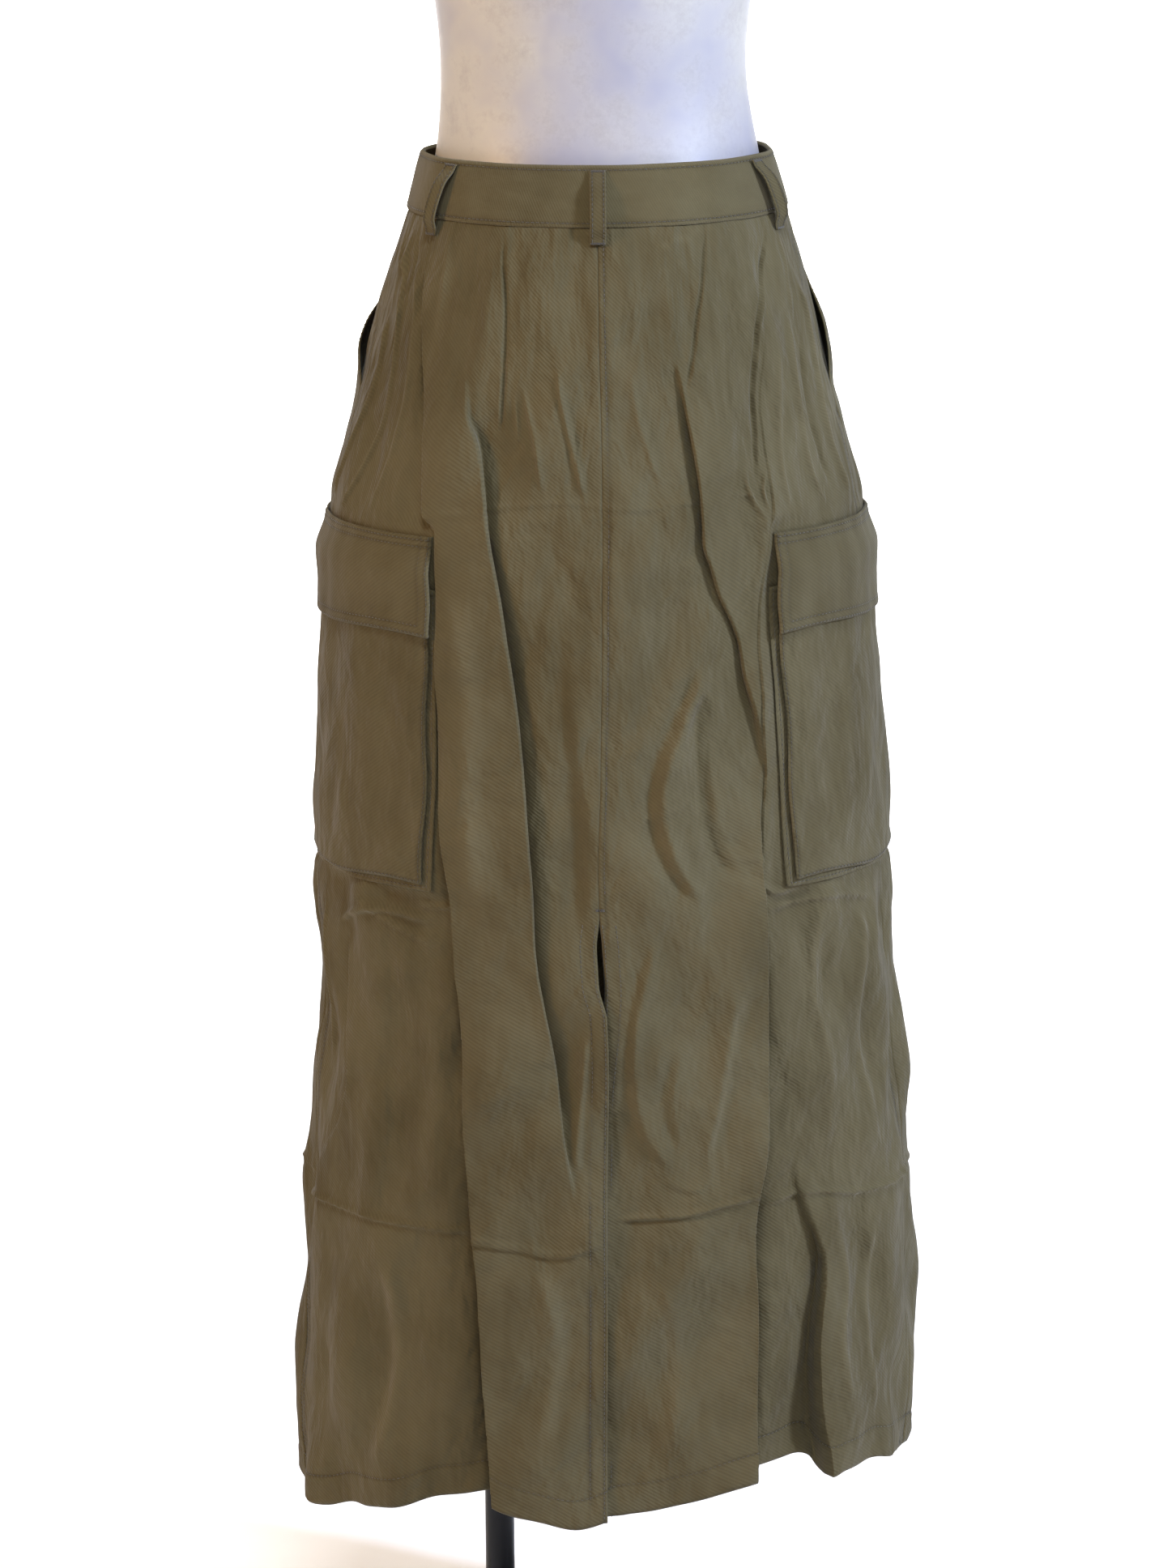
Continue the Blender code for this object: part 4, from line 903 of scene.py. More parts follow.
def rolled_edge(from_edge, drop=1.1 * MM, over=1.6 * MM):
    """A folded edge that turns in: it drops away over its last stretch."""
    return -drop * (1.0 - ease(from_edge, 0.0, over)) ** 2


def sewn(*distances):
    """-1 along rows of stitches and 0 away from them: the cloth is drawn in there, and its colour is
    darkened there as painted shade.
    """
    return -np.clip(sum(np.exp(-((distance / (0.75 * MM)) ** 2)) for distance in distances), 0.0, 1.0)


def tucked(from_seam):
    """Past its seam a panel steps down and runs on for a little under its neighbour."""
    return -1.6 * MM * (1.0 - ease(from_seam, -0.6 * MM, 0.2 * MM))


def sunk(angle, level):
    """How far a panel lies back behind its cargo pocket and under the band."""
    behind = -5.0 * MM * in_pocket(angle, level, 0.012, 0.034, POCKET_TOP)
    return behind - 2.8 * MM * ease(level, WAIST_SEAM - 0.0015, WAIST_SEAM + 0.0015)


def back_cloth(angle, level, sign, out=0.0):
    """Points of a back panel's face, how much paler it is along crease crests (partly rubbed wear, partly
    painted highlight) and its painted shade along the stitching: sunk behind the pocket and at the band,
    shifted at the slit, rolled at its centre edge and drawn in along its stitching."""
    foot = hem_level(angle)
    per_degree = np.radians(radius_at(level))
    from_seam = angle - seam_angle(level)
    below = 1.0 - ease(level, 0.490, SLIT_TOP - 0.010)
    slit = (1.2 * MM if sign < 0 else -SLIT_LAP) * below * np.exp(-((from_seam / 12.0) ** 2))
    from_centre = np.abs(angle - back_centre(level, sign)) * per_degree
    centre = rolled_edge(from_centre, (0.8 if sign < 0 else 2.0) * MM, 1.8 * MM)
    from_side = ((SIDE_LEFT if sign < 0 else SIDE_RIGHT) - angle) * sign * per_degree
    rows = [level - foot - HEM_DEEP]
    rows += [from_side - inset for inset in EDGE_ROWS]
    rows += [from_centre - inset + (1.0 - below) for inset in SLIT_ROWS]
    if sign > 0:
        rows.append(from_seam * per_degree - CENTRE_ROW + below)
    drawn = sewn(*rows)
    lift = sunk(angle, level) + slit + centre + tucked(from_side) + hemmed(level, foot)
    points, wear_and_painted_shading = worn(angle, level, lift + SEWN_DEPTH * drawn + out)
    # Painted shade along the rows of stitches darkens the cloth there.
    return points, wear_and_painted_shading + drawn


def cut_map(angle, level):
    """Where each point lies on the flat cloth, in metres: round the hip, and up."""
    angle, level = np.broadcast_arrays(angle, level)
    return np.stack([np.radians(angle) * HIP_R, level], axis=-1)


def back_panel(name, node, side_seam, columns=140, rows=280):
    """One back panel, from its hem to the band and from the side seam to the centre."""
    sign = np.sign(side_seam)
    base = level_rows(0.137, PANEL_TOP, rows)
    edge = back_centre(base, sign)
    under = UNDERLAP * (1.0 - ease(base, MOUTH_FOOT - 0.030, MOUTH_FOOT - 0.010))
    start = side_seam + sign * (under - SEAM_GAP)
    low, high = (start, edge) if sign < 0 else (edge, start)
    angle = crowded(low, high, columns, lines_at(base) + [(edge, np.ones(rows))], 1.8, 2.6)
    share = ((base - base[0]) / (base[-1] - base[0]))[:, None]
    foot = hem_level(np.maximum(np.abs(angle), 3.0) if sign > 0 else np.minimum(angle, -0.3))
    level = foot + (PANEL_TOP - foot) * share
    points, wear_and_painted_shading = back_cloth(angle, level, sign)
    return add_cloth(name, points, cut_map(angle, level), wear_and_painted_shading, [node])


back_left = back_panel("back_left_twill", "back_panel_left", SIDE_LEFT)
back_right = back_panel("back_right_twill", "back_panel_right", SIDE_RIGHT)


def row_on(cloth, angle, level, *side, **spacing):
    """Stitches along a line of angles and levels on a cloth, which may need to know its side."""
    angle, level = np.broadcast_arrays(angle, level)
    return spindles(*[cloth(angle, level, *side, out)[0] for out in (0.0, MM)], **spacing)


def back_stitches():
    """The hem, the centre seam, the slit's edges and bartack, and the side seams' double rows."""
    rows = []
    for sign, side_seam in ((-1, SIDE_LEFT), (1, SIDE_RIGHT)):
        centre = back_centre(np.full(1, 0.16), sign)[0]
        angle = centre + (side_seam - centre) * np.linspace(0.0, 1.0, 700)
        lines = [(angle, hem_level(angle) + HEM_DEEP)]
        level = np.linspace(0.150, 0.990, 700)
        lines += [(side_seam - sign * as_degrees(inset, level), level) for inset in EDGE_ROWS]
        level = np.linspace(0.140, 0.552, 500)
        edge = back_centre(level, sign)
        lines += [(edge + sign * as_degrees(inset, level), level) for inset in SLIT_ROWS]
        if sign > 0:
            level = np.linspace(0.572, 1.000, 500)
            lines.append((seam_angle(level) + as_degrees(CENTRE_ROW, level), level))
        rows += [row_on(back_cloth, *line, sign) for line in lines]
        tack = np.linspace(0.0, 0.9, 40) * sign - 0.85
        for level in SLIT_TOP + 0.002 - np.arange(0.0, 0.0016, 0.0004):
            rows.append(row_on(back_cloth, tack, level, sign, **TACKED))
    add_stitches("back_stitches", rows)


back_stitches()

# ---- Front panels --------------------------------------------------------------------------------
# Two lengths joined by a centre front seam. Each upper side edge is cut on a slant as the mouth of a
# hand pocket, turned in and stitched twice. The mouths gape at the sides.
MOUTH_TURN, MOUTH_GAPE = 36.0, 4.5 * MM
FRONT_ROW = 0.0025  # the row of stitches beside the centre seam


def mouth_edge(side_seam, level):
    """The front panel's edge: the side seam, then a slant forward as the pocket's mouth."""
    slant = np.clip((level - MOUTH_FOOT) / (PANEL_TOP - MOUTH_FOOT), 0.0, 1.0)
    return side_seam + np.sign(side_seam) * (0.1 + MOUTH_TURN * slant**1.4)


def front_cloth(angle, level, side_seam, out=0.0):
    """Points of a front panel's face, standing out at its pocket mouth and rolled at its edges."""
    foot = hem_level(angle)
    per_degree = np.radians(radius_at(level))
    from_edge = np.abs(angle - mouth_edge(side_seam, level))
    from_centre = (180.0 - np.abs(angle)) * per_degree
    along = ease(level, MOUTH_FOOT - 0.005, 0.912) * (1.0 - ease(level, 0.920, 0.955))
    gape = MOUTH_GAPE * along * np.exp(-((from_edge / 16.0) ** 2))
    from_edge = from_edge * per_degree
    edges = rolled_edge(from_edge) + rolled_edge(from_centre, 0.8 * MM, 2.0 * MM) + tucked(from_centre)
    low = 1.0 - ease(level, MOUTH_FOOT, MOUTH_FOOT + 0.002)
    rows = [level - foot - HEM_DEEP, from_centre - FRONT_ROW]
    drawn = sewn(*rows, *[from_edge - inset + low for inset in EDGE_ROWS])
    lift = sunk(angle, level) + gape + edges + hemmed(level, foot)
    points, wear_and_painted_shading = worn(angle, level, lift + SEWN_DEPTH * drawn + out)
    # Painted shade along the rows of stitches darkens the cloth there.
    return points, wear_and_painted_shading + drawn


def front_panel(name, node, side_seam, columns=100, rows=200):
    """One front panel, from its hem to the band and from its side edge to the centre front."""
    sign = np.sign(side_seam)
    base = level_rows(0.140, PANEL_TOP, rows)
    edge = mouth_edge(side_seam, base)
    start = np.full(rows, 181.2 if sign > 0 else -179.92)
    low, high = (start, edge) if sign < 0 else (edge, start)
    angle = crowded(low, high, columns, lines_at(base) + [(edge, np.ones(rows))], 2.2, 2.2)
    foot = hem_level(angle)
    level = foot + (PANEL_TOP - foot) * ((base - base[0]) / (base[-1] - base[0]))[:, None]
    points, wear_and_painted_shading = front_cloth(angle, level, side_seam)
    return add_cloth(name, points, cut_map(angle, level), wear_and_painted_shading, [node])


def front_stitches():
    """The hem, the centre front's double row and the mouths' double rows."""
    rows = []
    for side_seam in (SIDE_LEFT, SIDE_RIGHT):
        sign = np.sign(side_seam)
        angle = side_seam + (sign * 179.7 - side_seam) * np.linspace(0.0, 1.0, 700)
        lines = [(angle, hem_level(angle) + HEM_DEEP)]
        level = np.linspace(0.892, 0.998, 200)
        edge = mouth_edge(side_seam, level)
        lines += [(edge + sign * as_degrees(inset, level), level) for inset in EDGE_ROWS]
        level = np.linspace(0.150, 0.998, 700)
        lines.append((sign * (180.0 - as_degrees(FRONT_ROW, level)), level))
        rows += [row_on(front_cloth, *line, side_seam) for line in lines]
    add_stitches("front_stitches", rows)


front_left = front_panel("front_left_twill", "front_panel_left", SIDE_LEFT)
front_right = front_panel("front_right_twill", "front_panel_right", SIDE_RIGHT)
front_stitches()

# ---- Hand-pocket facings -------------------------------------------------------------------------
# A piece of the same twill behind each slanted mouth, sewn in at the side seam and the band. It
# shows only inside the gape.
FACING_FOOT, FACING_THICK, FACING_BEHIND = MOUTH_FOOT - 0.012, 0.0010, 1.6 * MM
FACING_UNDER, FACING_PAST = 2.0, 9.0  # how far it runs past the seam and past the mouth, in degrees


def pocket_facing(name, node, side_seam, columns=40, rows=60):
    """The facing's surface, a little behind the worn cloth, from the seam to past the mouth's edge."""
    sign = np.sign(side_seam)
    level = np.linspace(FACING_FOOT, PANEL_TOP, rows)[:, None]
    start = side_seam - FACING_UNDER * sign
    far = mouth_edge(side_seam, level) + FACING_PAST * sign
    across = np.linspace(0.0, 1.0, columns)[None, :]
    angle = start + (far - start) * (across if sign > 0 else 1.0 - across)
    points, wear_and_painted_shading = worn(angle, level, -FACING_BEHIND, with_creases=False)
    return add_cloth(name, points, cut_map(angle, level), wear_and_painted_shading, [node], thick=FACING_THICK)


facing_left = pocket_facing("facing_left_twill", "pocket_facing_left", SIDE_LEFT)
facing_right = pocket_facing("facing_right_twill", "pocket_facing_right", SIDE_RIGHT)

# ---- Waistband -----------------------------------------------------------------------------------
# One strip folded double over interfacing, 42 mm wide, with a row of stitches inside each edge. It
# laps at the centre front, where the left end lies under the right one.
BAND_PROUD, BAND_THICK, BAND_LAP = 1.0 * MM, 2.6 * MM, 3.6 * MM
BAND_START, BAND_END = -184.0, 187.0
BAND_ROW = 0.0030  # its stitches' distance from both edges
WAIST_R = 0.12  # turns an angle into metres round the waist


def band_cloth(angle, level, out=0.0):
    """Points of the band's face: flat, gently dented, puckered at its rows, rolled at its edges."""
    lap = BAND_LAP * (1.0 - ease(angle, BAND_START + 10.0, BAND_START + 20.0))
    across = np.radians(angle) * WAIST_R
    from_edge = np.minimum(level - WAIST_SEAM, WAIST_TOP - level)
    from_row = from_edge - BAND_ROW
    crown = 0.35 * MM * ease(from_edge, 0.0025, 0.0120)
    roll = -1.2 * MM * (1.0 - ease(from_edge, 0.0, 0.0022)) ** 2
    groove = -0.25 * MM * np.exp(-((from_row / 0.0008) ** 2))
    dents = ripple(across, level * 0.5, 21, 10, 0.080, 0.022, 0.30 * MM)
    pucker = 0.10 * MM * np.cos(across * 2 * pi / 0.0045) * np.exp(-((from_row / 0.003) ** 2))
    wave = 0.6 * MM * np.sin(across * 2 * pi / 0.071) * ease(level, WAIST_SEAM + 0.006, WAIST_TOP)
    lift = BAND_PROUD - lap + crown + roll + groove + dents + pucker + wave + out
    # Paler at its worn folded edges, with painted shade along its rows of stitches.
    wear_and_painted_shading = np.exp(-((from_edge / 0.0012) ** 2)) + sewn(from_row)
    return ellipse(angle, level, lift, SKIRT), wear_and_painted_shading


def add_waistband():
    """The band, with its levels closer together at both edges."""
    angle = np.linspace(BAND_START, BAND_END, 500)[None, :]
    share = np.linspace(0.0, 1.0, 36)[:, None]
    level = WAIST_SEAM + (WAIST_TOP - WAIST_SEAM) * (share - 0.055 * np.sin(2 * pi * share))
    points, wear_and_painted_shading = band_cloth(angle, level)
    cut = cut_map(angle, level)[..., ::-1]
    return add_cloth("waistband_twill", points, cut, wear_and_painted_shading, ["waistband"], BAND_THICK, pressed_olive)


waistband = add_waistband()
band_line = np.linspace(BAND_START + 1.0, BAND_END - 1.0, 1400)
low_row, high_row = WAIST_SEAM + BAND_ROW, WAIST_TOP - BAND_ROW
add_stitches("band_stitches", [
    row_on(band_cloth, band_line, low_row),
    row_on(band_cloth, band_line, high_row),
    row_on(band_cloth, BAND_END - 1.1, np.linspace(low_row, high_row, 40)),
])

# ---- Belt loops ----------------------------------------------------------------------------------
# Five strips of folded twill, 10.5 mm wide, stitched down both edges and bartacked at the top and
# below the band. They stand off the band between, and some lean or twist.
LOOP_WIDE, LOOP_THICK, LOOP_LONG = 0.0105, 0.0016, 0.055
LOOP_ROW = 0.68  # its rows of stitches, as a share of its half width
LOOP_PATH = (  # level, and distance out in mm
    (1.0375, 3.5), (1.0335, 4.6), (1.0270, 8.8), (1.0190, 10.0), (1.0110, 10.0), (1.0030, 8.8),
    (0.9965, 4.4), (0.9925, 2.5),
)
Loop = namedtuple("Loop", "name node top foot twist")
LOOPS = (
    Loop("loop_back_centre", "belt_loop_back_centre", 0.0, 0.0, 0.2),
    Loop("loop_back_left", "belt_loop_back_left", -53.5, -56.5, -0.8),
    Loop("loop_back_right", "belt_loop_back_right", 61.5, 66.0, 2.0),
    Loop("loop_front_left", "belt_loop_front_left", -141.0, -140.0, 0.4),
    Loop("loop_front_right", "belt_loop_front_right", 139.0, 140.0, -0.4),
)


def loop_cloth(loop, across, up, out=0.0):
    """Points of a loop's face: across from -1 to 1 and up from 0 to 1. Its path gives a level and a
    distance out, its middle is slightly hollow, and twist lifts one edge."""
    levels, outs = np.array(LOOP_PATH)[::-1].T
    knots = np.linspace(0.0, 1.0, len(levels))
    level = through(up, knots, levels)
    middle = loop.foot + (loop.top - loop.foot) * up
    centre = ellipse(middle, level, 0.0, SKIRT)
    normal = (ellipse(middle, level, MM, SKIRT) - centre) / MM
    ahead = ellipse(middle + 1.0, level, 0.0, SKIRT) - centre
    ahead /= np.linalg.norm(ahead, axis=-1, keepdims=True)
    belly = np.sin(pi * np.clip(up, 0.0, 1.0))
    lift = through(up, knots, outs) * MM + out - 0.35 * MM * (1.0 - across**2) * belly
    lift = lift + loop.twist * MM * across * belly - 0.7 * MM * ease(np.abs(across), 0.86, 1.0)
    return centre + normal * lift[..., None] + ahead * (across * LOOP_WIDE / 2)[..., None]


def belt_loop(loop, columns=17, rows=60):
    """One loop, with its edge rows and bartacks."""
    across, up = np.meshgrid(np.linspace(-1.0, 1.0, columns), np.linspace(0.0, 1.0, rows))
    # Paler at its worn edges, with painted shade along its rows of stitches.
    wear_and_painted_shading = ease(np.abs(across), 0.8, 1.0) * 0.6 + sewn((np.abs(across) - LOOP_ROW) * LOOP_WIDE / 2)
    cut = np.stack([across * LOOP_WIDE / 2, up * LOOP_LONG], axis=-1)
    points = loop_cloth(loop, across, up)
    piece = add_cloth(loop.name, points, cut, wear_and_painted_shading, [loop.node], LOOP_THICK, pressed_olive)
    lines = [(edge, np.linspace(0.03, 0.97, 80), {}) for edge in (-LOOP_ROW, LOOP_ROW)]
    for end in (0.015, 0.955):
        for k in range(4):
            lines.append((np.linspace(-0.85, 0.85, 30), end + 0.010 * k, {"pitch": 0.0011, "long": 0.0015}))
    stitches = []
    for across, up, spacing in lines:
        across, up = np.broadcast_arrays(across, up)
        stitches.append(spindles(*[loop_cloth(loop, across, up, out) for out in (0.0, MM)], **spacing))
    return piece, stitches


loop_pieces, loop_rows = zip(*[belt_loop(loop) for loop in LOOPS])
add_stitches("loop_stitches", [row for rows in loop_rows for row in rows])

# ---- Cargo pockets -------------------------------------------------------------------------------
# A patch on each side seam, joined to the skirt by a gusset folded inwards, so that it can swell.
# The gusset's stitched tab shows beside the patch. A flap of doubled twill is sewn on above, turned
# down over the mouth and stitched twice round its edge.
PATCH_THICK, FLAP_THICK, GUSSET_THICK = 1.1 * MM, 2.0 * MM, 0.8 * MM
POCKET_OUT = 6.2 * MM
POCKET_WIDE, FLAP_LONG = POCKET_TURN / POCKET_PER_METRE, FLAP_TOP - FLAP_FOOT
PATCH_ROW = 0.0018  # the patch's row of stitches in from its edge
FLAP_ROWS = (0.0018, 0.0070)  # the flap's two rows in from its edge
FLAP_TOP_ROWS = (0.0024, 0.0070)  # its two rows down from its top
GUSSET = (  # inset from the patch's edge and distance out, in mm
    (-5.0, 1.6), (-4.4, 2.2), (0.0, 2.2), (8.2, 2.2), (9.0, 2.4), (9.0, 2.8), (8.2, 3.0), (2.0, 3.0),
    (1.2, 2.9),
)


def pocket_angle(pocket, metres):
    """The angle that lies some metres in from a pocket's back edge."""
    return pocket.back_edge + np.sign(pocket.back_edge) * metres * POCKET_PER_METRE


def patch_cloth(pocket, across, level, out=0.0):
    """Points of the patch, across in metres from its back edge: it swells in the middle, sags at
    its mouth, has soft dents and rolled edges, and wavers along its back edge."""
    side = np.minimum(across, POCKET_WIDE - across)
    foot = level - POCKET_FOOT
    rim = np.minimum(side, foot)
    seed = 31 if pocket.side == "left" else 37
    inside = ease(side, 0.0, 0.030)
    swell = 2.6 * MM * ease(side, 0.0, 0.055) * ease(foot, 0.0, 0.050)
    dents = ripple(across, level, seed, 12, 0.070, 0.020, 1.3 * MM) * inside * ease(foot, 0.0, 0.02)
    dents = dents + crumple(across, level, seed + 3, 4, 0.7 * MM) * ease(side, 0.0, 0.020)
    waver = 0.9 * MM * np.sin(level * 2 * pi / 0.083 + 0.6) * (1.0 - ease(across, 0.0, 0.03))
    drop = 1.6 * MM * np.sin(across * 2 * pi / 0.097) * (1.0 - ease(foot, 0.0, 0.03))
    drawn = sewn(rim - PATCH_ROW)
    lift = POCKET_OUT + swell + dents + rolled_edge(rim, 1.3 * MM, 2.0 * MM) + SEWN_DEPTH * drawn + out
    points, _ = worn(pocket_angle(pocket, across + waver), level + drop, lift, with_creases=False)
    # Paler at its worn edges, with painted shade along its row of stitches.
    return points, ease(-side, -0.002, 0.0) * 0.7 + ease(-foot, -0.002, 0.0) * 0.7 + 0.6 * drawn


def gusset_cloth(pocket, around, row, out=0.0):
    """Points of the gusset, down the back side, along the foot and up the front side as around
    goes from 0 to 3, and through its folded profile as row goes from 0 to 1."""
    inset, lift = np.array(GUSSET).T * MM
    knots = np.linspace(0.0, 1.0, len(inset))
    inset, lift = np.interp(row, knots, inset), np.interp(row, knots, lift)
    top = POCKET_TOP - 0.004
    across = inset + np.clip(around - 1.0, 0.0, 1.0) * (POCKET_WIDE - 2 * inset)
    drop = np.clip(around, 0.0, 1.0) - np.clip(around - 2.0, 0.0, 1.0)
    level = top - drop * (top - POCKET_FOOT - inset)
    return worn(pocket_angle(pocket, across), level, lift + out, with_creases=False)


def flap_cloth(pocket, across, up, out=0.0):
    """Points of the flap, across and up from 0 to 1: it rises over the patch from its sewn top,
    bows at its foot, and its corners kick out a little."""
    far = pocket.back_edge + np.sign(pocket.back_edge) * (POCKET_TURN + 1.0)
    angle = pocket.flap_back + (far - pocket.flap_back) * across
    bow = 1.6 * MM * np.sin(across * 2.6 * pi) * (1.0 - up)
    from_side = np.minimum(across, 1.0 - across)
    side, down = from_side * POCKET_WIDE, (1.0 - up) * FLAP_LONG
    rim = np.minimum(side, up * FLAP_LONG)
    low, high = FLAP_THICK + 1.0 * MM, POCKET_OUT + FLAP_THICK + 1.5 * MM
    ramp = low + (high - low) * (1.0 - ease(up, 0.60, 0.97))
    swell = 2.2 * MM * ease(from_side, 0.0, 0.35) * ease(1.0 - up, 0.10, 0.55)
    edges = rolled_edge(rim, 1.4 * MM, 2.2 * MM) + rolled_edge(down, 1.0 * MM, 1.8 * MM)
    outer, inner = FLAP_ROWS
    drawn = sewn(rim - inner, *[down - inset for inset in FLAP_TOP_ROWS]) + 0.6 * sewn(rim - outer)
    dents = ripple(across * POCKET_WIDE, up * FLAP_LONG, 43, 10, 0.060, 0.018, 0.45 * MM)
    kick = 1.5 * MM * (1.0 - ease(across, 0.0, 0.10)) * (1.0 - ease(up, 0.0, 0.35))
    lift = ramp + swell + edges + SEWN_DEPTH * drawn + dents + kick + out
    points, _ = worn(angle, FLAP_FOOT + FLAP_LONG * up + bow, lift, with_creases=False)
    # Paler at its worn edges, with painted shade along its rows of stitches.
    return points, ease(-side, -0.002, 0.0) * 0.7 + ease(-up, -0.03, 0.0) * 0.7 + drawn


def facing_out(grid, pocket):
    """The grid with its columns turned round where they run against the angle."""
    return grid if pocket.back_edge > 0 else grid[:, ::-1]


def cargo_pocket(pocket):
    """One pocket's patch, gusset and flap."""
    side = pocket.side
    across, level = np.meshgrid(
        np.linspace(0.0, POCKET_WIDE, 100), np.linspace(POCKET_FOOT, POCKET_TOP, 110)
    )
    points, wear_and_painted_shading = (facing_out(grid, pocket) for grid in patch_cloth(pocket, across, level))
    cut = facing_out(np.stack([across, level], axis=-1), pocket)
    patch = add_cloth(f"pocket_{side}_twill", points, cut, wear_and_painted_shading, [f"cargo_pocket_{side}"], PATCH_THICK)
    around, row = np.meshgrid(np.linspace(0.0, 3.0, 220), np.linspace(0.0, 1.0, 25))
    points = facing_out(gusset_cloth(pocket, around, row)[0], pocket)
    cut = facing_out(np.stack([around * 0.18, row * 0.02], axis=-1), pocket)
    gusset = add_cloth(f"gusset_{side}_twill", points, cut, 0.0, [f"cargo_gusset_{side}"], GUSSET_THICK)
    share, up = np.meshgrid(np.linspace(0.0, 1.0, 100), np.linspace(0.0, 1.0, 50))
    points, wear_and_painted_shading = (facing_out(grid, pocket) for grid in flap_cloth(pocket, share, up))
    cut = facing_out(np.stack([share * POCKET_WIDE, up * FLAP_LONG], axis=-1), pocket)
    flap = add_cloth(
        f"flap_{side}_twill", points, cut, wear_and_painted_shading, [f"cargo_flap_{side}"], FLAP_THICK, pressed_olive
    )
    return patch, gusset, flap


def round_edge(inset, width, height):
    """A line set in from a piece's edge: down one side, along its foot and up its other side."""
    t, one = np.linspace(0.0, 1.0, 240), np.ones(240)
    across = np.concatenate([inset * one, inset + (width - 2 * inset) * t, (width - inset) * one])
    up = np.concatenate([height - (height - inset) * t, inset * one, inset + (height - inset) * t])
    return across, up


def cargo_stitches(pocket):
    """The patch's edge row, the gusset's tab row, and the flap's double row and top rows."""
    across, up = round_edge(PATCH_ROW, POCKET_WIDE, POCKET_TOP - POCKET_FOOT)
    lines = [
        (patch_cloth, across, POCKET_FOOT + up),
        (gusset_cloth, np.linspace(0.0, 3.0, 700), np.full(700, 0.19)),
    ]
    for inset in FLAP_ROWS:
        across, up = round_edge(inset, POCKET_WIDE, FLAP_LONG)
        lines.append((flap_cloth, across / POCKET_WIDE, up / FLAP_LONG))
    for down in FLAP_TOP_ROWS:
        lines.append((flap_cloth, np.linspace(0.01, 0.99, 240), np.full(240, 1.0 - down / FLAP_LONG)))
    rows = [spindles(*[cloth(pocket, *line, out)[0] for out in (0.0, MM)]) for cloth, *line in lines]
    add_stitches(f"pocket_{pocket.side}_stitches", rows)


pocket_pieces = [cargo_pocket(pocket) for pocket in POCKETS]
for pocket in POCKETS:
    cargo_stitches(pocket)

# ---- Waist button --------------------------------------------------------------------------------
# A moulded horn-look button on the overlap at the centre front, dished, with a raised rim and four
# holes, sewn on with crossed thread.
BUTTON_R, BUTTON_THICK = 0.0085, 0.0030
HOLE = 1.7  # each hole's distance from the middle along both axes, in mm
BUTTON_ANGLE, BUTTON_LEVEL = 182.0, (WAIST_TOP + WAIST_SEAM) / 2


def horn_look():
    """Moulded polyester with a horn figure: brown and near-black swirls under a satin polish."""
    material, tree, shader = new_material("horn_look_polyester")
    place = add_node(tree, "TexCoord", "Object")
    swirled = {"Vector": place, "Scale": 160.0, "Detail": 4.0, "Distortion": 1.4}
    swirl = add_node(tree, "TexNoise", "Fac", swirled)
    set_inputs(tree, shader, {
        "Base Color": layered(tree, "#241a10", (swirl, 0.38, 0.62, 0.0, 1.0, "#6a5132")),
        "Roughness": 0.32,
        "IOR": 1.52,
    })
    return material


def button_rings():
    """The button's turned profile on a grid of rings, set on the band's face, and its own axes."""
    profile = rounded(
        ((0.0004, 0.0), (BUTTON_R, 0.0), (BUTTON_R, BUTTON_THICK), (BUTTON_R - 0.0016, BUTTON_THICK),
         (BUTTON_R - 0.0022, BUTTON_THICK - 0.0008), (0.0004, BUTTON_THICK - 0.0009)), 0.0006
    )
    turn = np.linspace(0.0, 2 * pi, 64, endpoint=False)
    angle, levels = np.array(BUTTON_ANGLE), np.array([BUTTON_LEVEL - MM, BUTTON_LEVEL + MM])
    seat = ellipse(angle, np.array(BUTTON_LEVEL), BAND_PROUD + 0.9 * MM, SKIRT)
    below, above = ellipse(angle, levels, 0.0, SKIRT)
    up = (above - below) / np.linalg.norm(above - below)
    ahead = np.array([-1.0, 0.0, 0.0])
    out = np.cross(ahead, up)
    ring = ahead * np.cos(turn)[:, None] + up * np.sin(turn)[:, None]
    return seat + profile[:, :1, None] * ring[None] + profile[:, 1:, None] * out, seat, ahead, up, out


rings, seat, ahead, up_band, out_band = button_rings()
button = add_grid("horn_button_disc", rings, closed=True, caps=True)
finish(button, horn_look(), "horn_button", "waist_button")


def button_thread(start, end):
    """One long stitch across the button's face, between two holes in mm along its own axes."""
    face = seat + out_band * (BUTTON_THICK - 0.0006)
    ends = [face + (ahead * across + up_band * up) * MM for across, up in (start, end)]
    line = np.linspace(*ends, 12)
    return spindles(line, line + out_band * MM, pitch=0.004, long=0.0046)


add_stitches("button_thread", [
    button_thread((HOLE, HOLE), (-HOLE, -HOLE)),
    button_thread((HOLE, -HOLE), (-HOLE, HOLE)),
])

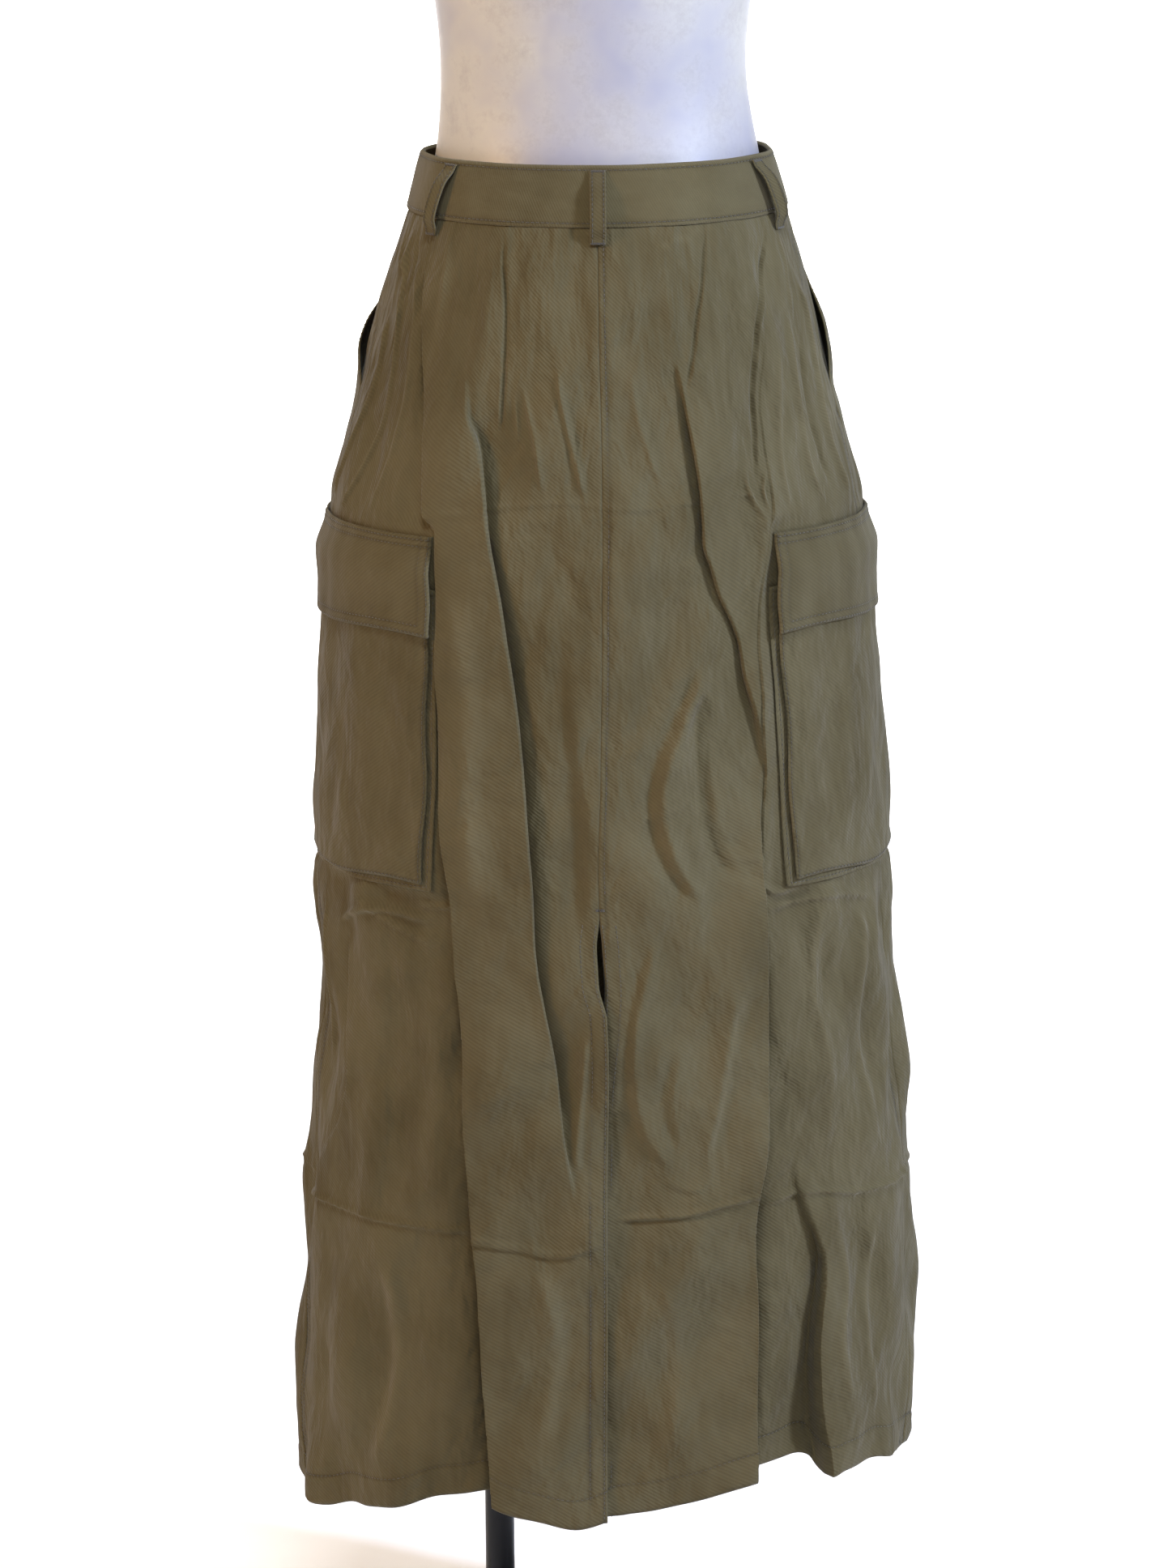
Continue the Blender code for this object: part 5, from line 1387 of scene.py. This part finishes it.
# ---- Camera, light and floor ---------------------------------------------------------------------
# A long lens a little above the waist, looking down. A cool key and a warm fill rake the cloth from
# both sides. White paper lies as a wide disc that turns up into a round wall, and a ring of lamps
# that shine straight down lights it, so that every side is seen against it.
CAMERA_PLACE, CAMERA_DOWN, CAMERA_ROLL = (-0.0071, -3.9, 1.53 + LIFT), 13.25, -0.44
LENS, SENSOR = 136.9, 36.0
Lamp = namedtuple("Lamp", "name colour power size spread place aim")
LAMPS = (
    Lamp("key", "#d3e1ff", 325.0, 0.5, 180.0, (3.3, -1.9, 2.9), (0.0, 0.0, 0.6)),
    Lamp("fill", "#ffcb88", 100.0, 0.6, 180.0, (-3.3, -1.8, 2.3), (0.0, 0.0, 0.6)),
    Lamp("top", "#f6fbff", 92.0, 0.7, 180.0, (0.0, -2.0, 3.8), (0.0, 0.0, 0.8)),
    Lamp("floor", "#ffffff", 230.0, 4.0, 180.0, (0.0, 4.2, 3.4), (0.0, 4.8, 0.0)),
    Lamp("front", "#fff4e6", 42.0, 1.2, 180.0, (-1.6, 3.4, 2.5), (0.0, 0.0, 0.7)),
)
RING_HIGH, RING_SIZE, RING_SPREAD = 5.5, 5.0, 100.0
RING = (  # x, y and power
    (0.0, 9.0, 700.0), (-7.5, 4.0, 130.0), (7.5, 4.0, 130.0), (-7.0, -5.0, 130.0), (7.0, -5.0, 130.0),
)
LAMPS += tuple(
    Lamp(f"ring_{k}", "#ffffff", power, RING_SIZE, RING_SPREAD, (x, y, RING_HIGH), (x, y, 0.0))
    for k, (x, y, power) in enumerate(RING)
)
FLOOR_R, BEND_R, WALL_TOP = 11.0, 3.0, 9.0


def place_in_scene(name, data, place, turn, order="XYZ"):
    """A camera's or a lamp's object at a place, turned about X and Z in the given order."""
    thing = bpy.data.objects.new(name, data)
    thing.location = place
    thing.rotation_mode = order
    thing.rotation_euler = (turn[0], 0.0, turn[1])
    bpy.context.scene.collection.objects.link(thing)
    return thing


def add_camera():
    """The camera, rolled slightly about its own line of sight and then tilted down."""
    data = bpy.data.cameras.new("camera")
    data.lens, data.sensor_width = LENS, SENSOR
    turn = (radians(90.0 - CAMERA_DOWN), radians(CAMERA_ROLL))
    bpy.context.scene.camera = place_in_scene("camera", data, CAMERA_PLACE, turn, "ZXY")


def add_lamp(lamp):
    """One square lamp, aimed from its place."""
    data = bpy.data.lights.new(lamp.name, "AREA")
    data.color = linear(lamp.colour)[:3]
    data.energy, data.size, data.spread = lamp.power, lamp.size, radians(lamp.spread)
    x, y, z = np.array(lamp.aim) - np.array(lamp.place)
    place_in_scene(lamp.name, data, lamp.place, (np.arctan2(np.hypot(x, y), -z), np.arctan2(-x, y)))


def sweep():
    """The floor: a flat disc that turns up into a round wall, on rings from the wall's top inwards."""
    bend = np.linspace(0.0, pi / 2, 24)
    reach = np.concatenate([[0.002, 1.0, 4.0, 8.0], FLOOR_R + BEND_R * np.sin(bend), [FLOOR_R + BEND_R]])
    height = np.concatenate([np.zeros(4), BEND_R * (1.0 - np.cos(bend)), [WALL_TOP]])
    reach, height = reach[:, None], height[:, None]
    turn = np.linspace(0.0, 2 * pi, 96, endpoint=False)
    rings = np.stack(np.broadcast_arrays(reach * np.sin(turn), -reach * np.cos(turn), height), axis=-1)
    return rings[::-1]


def white_paper():
    """Matt white background paper with a faint grain."""
    material, tree, shader = new_material("white_paper")
    grain = add_node(tree, "TexNoise", "Fac", {"Scale": 300.0})
    set_inputs(tree, shader, {
        "Base Color": layered(tree, "#f4f4f4", (grain, 0.0, 1.0, 0.0, 1.0, "#fafafa")),
        "Roughness": 0.9,
    })
    return material


add_camera()
for lamp in LAMPS:
    add_lamp(lamp)
world = bpy.data.worlds.new("studio")
world.use_nodes = True
background = world.node_tree.nodes["Background"]
set_inputs(world.node_tree, background, {"Color": linear("#f4f4f6"), "Strength": 0.04})
bpy.context.scene.world = world
bpy.context.scene.view_settings.view_transform = "Standard"
floor = add_grid("floor", sweep(), closed=True)
floor.data.materials.append(white_paper())
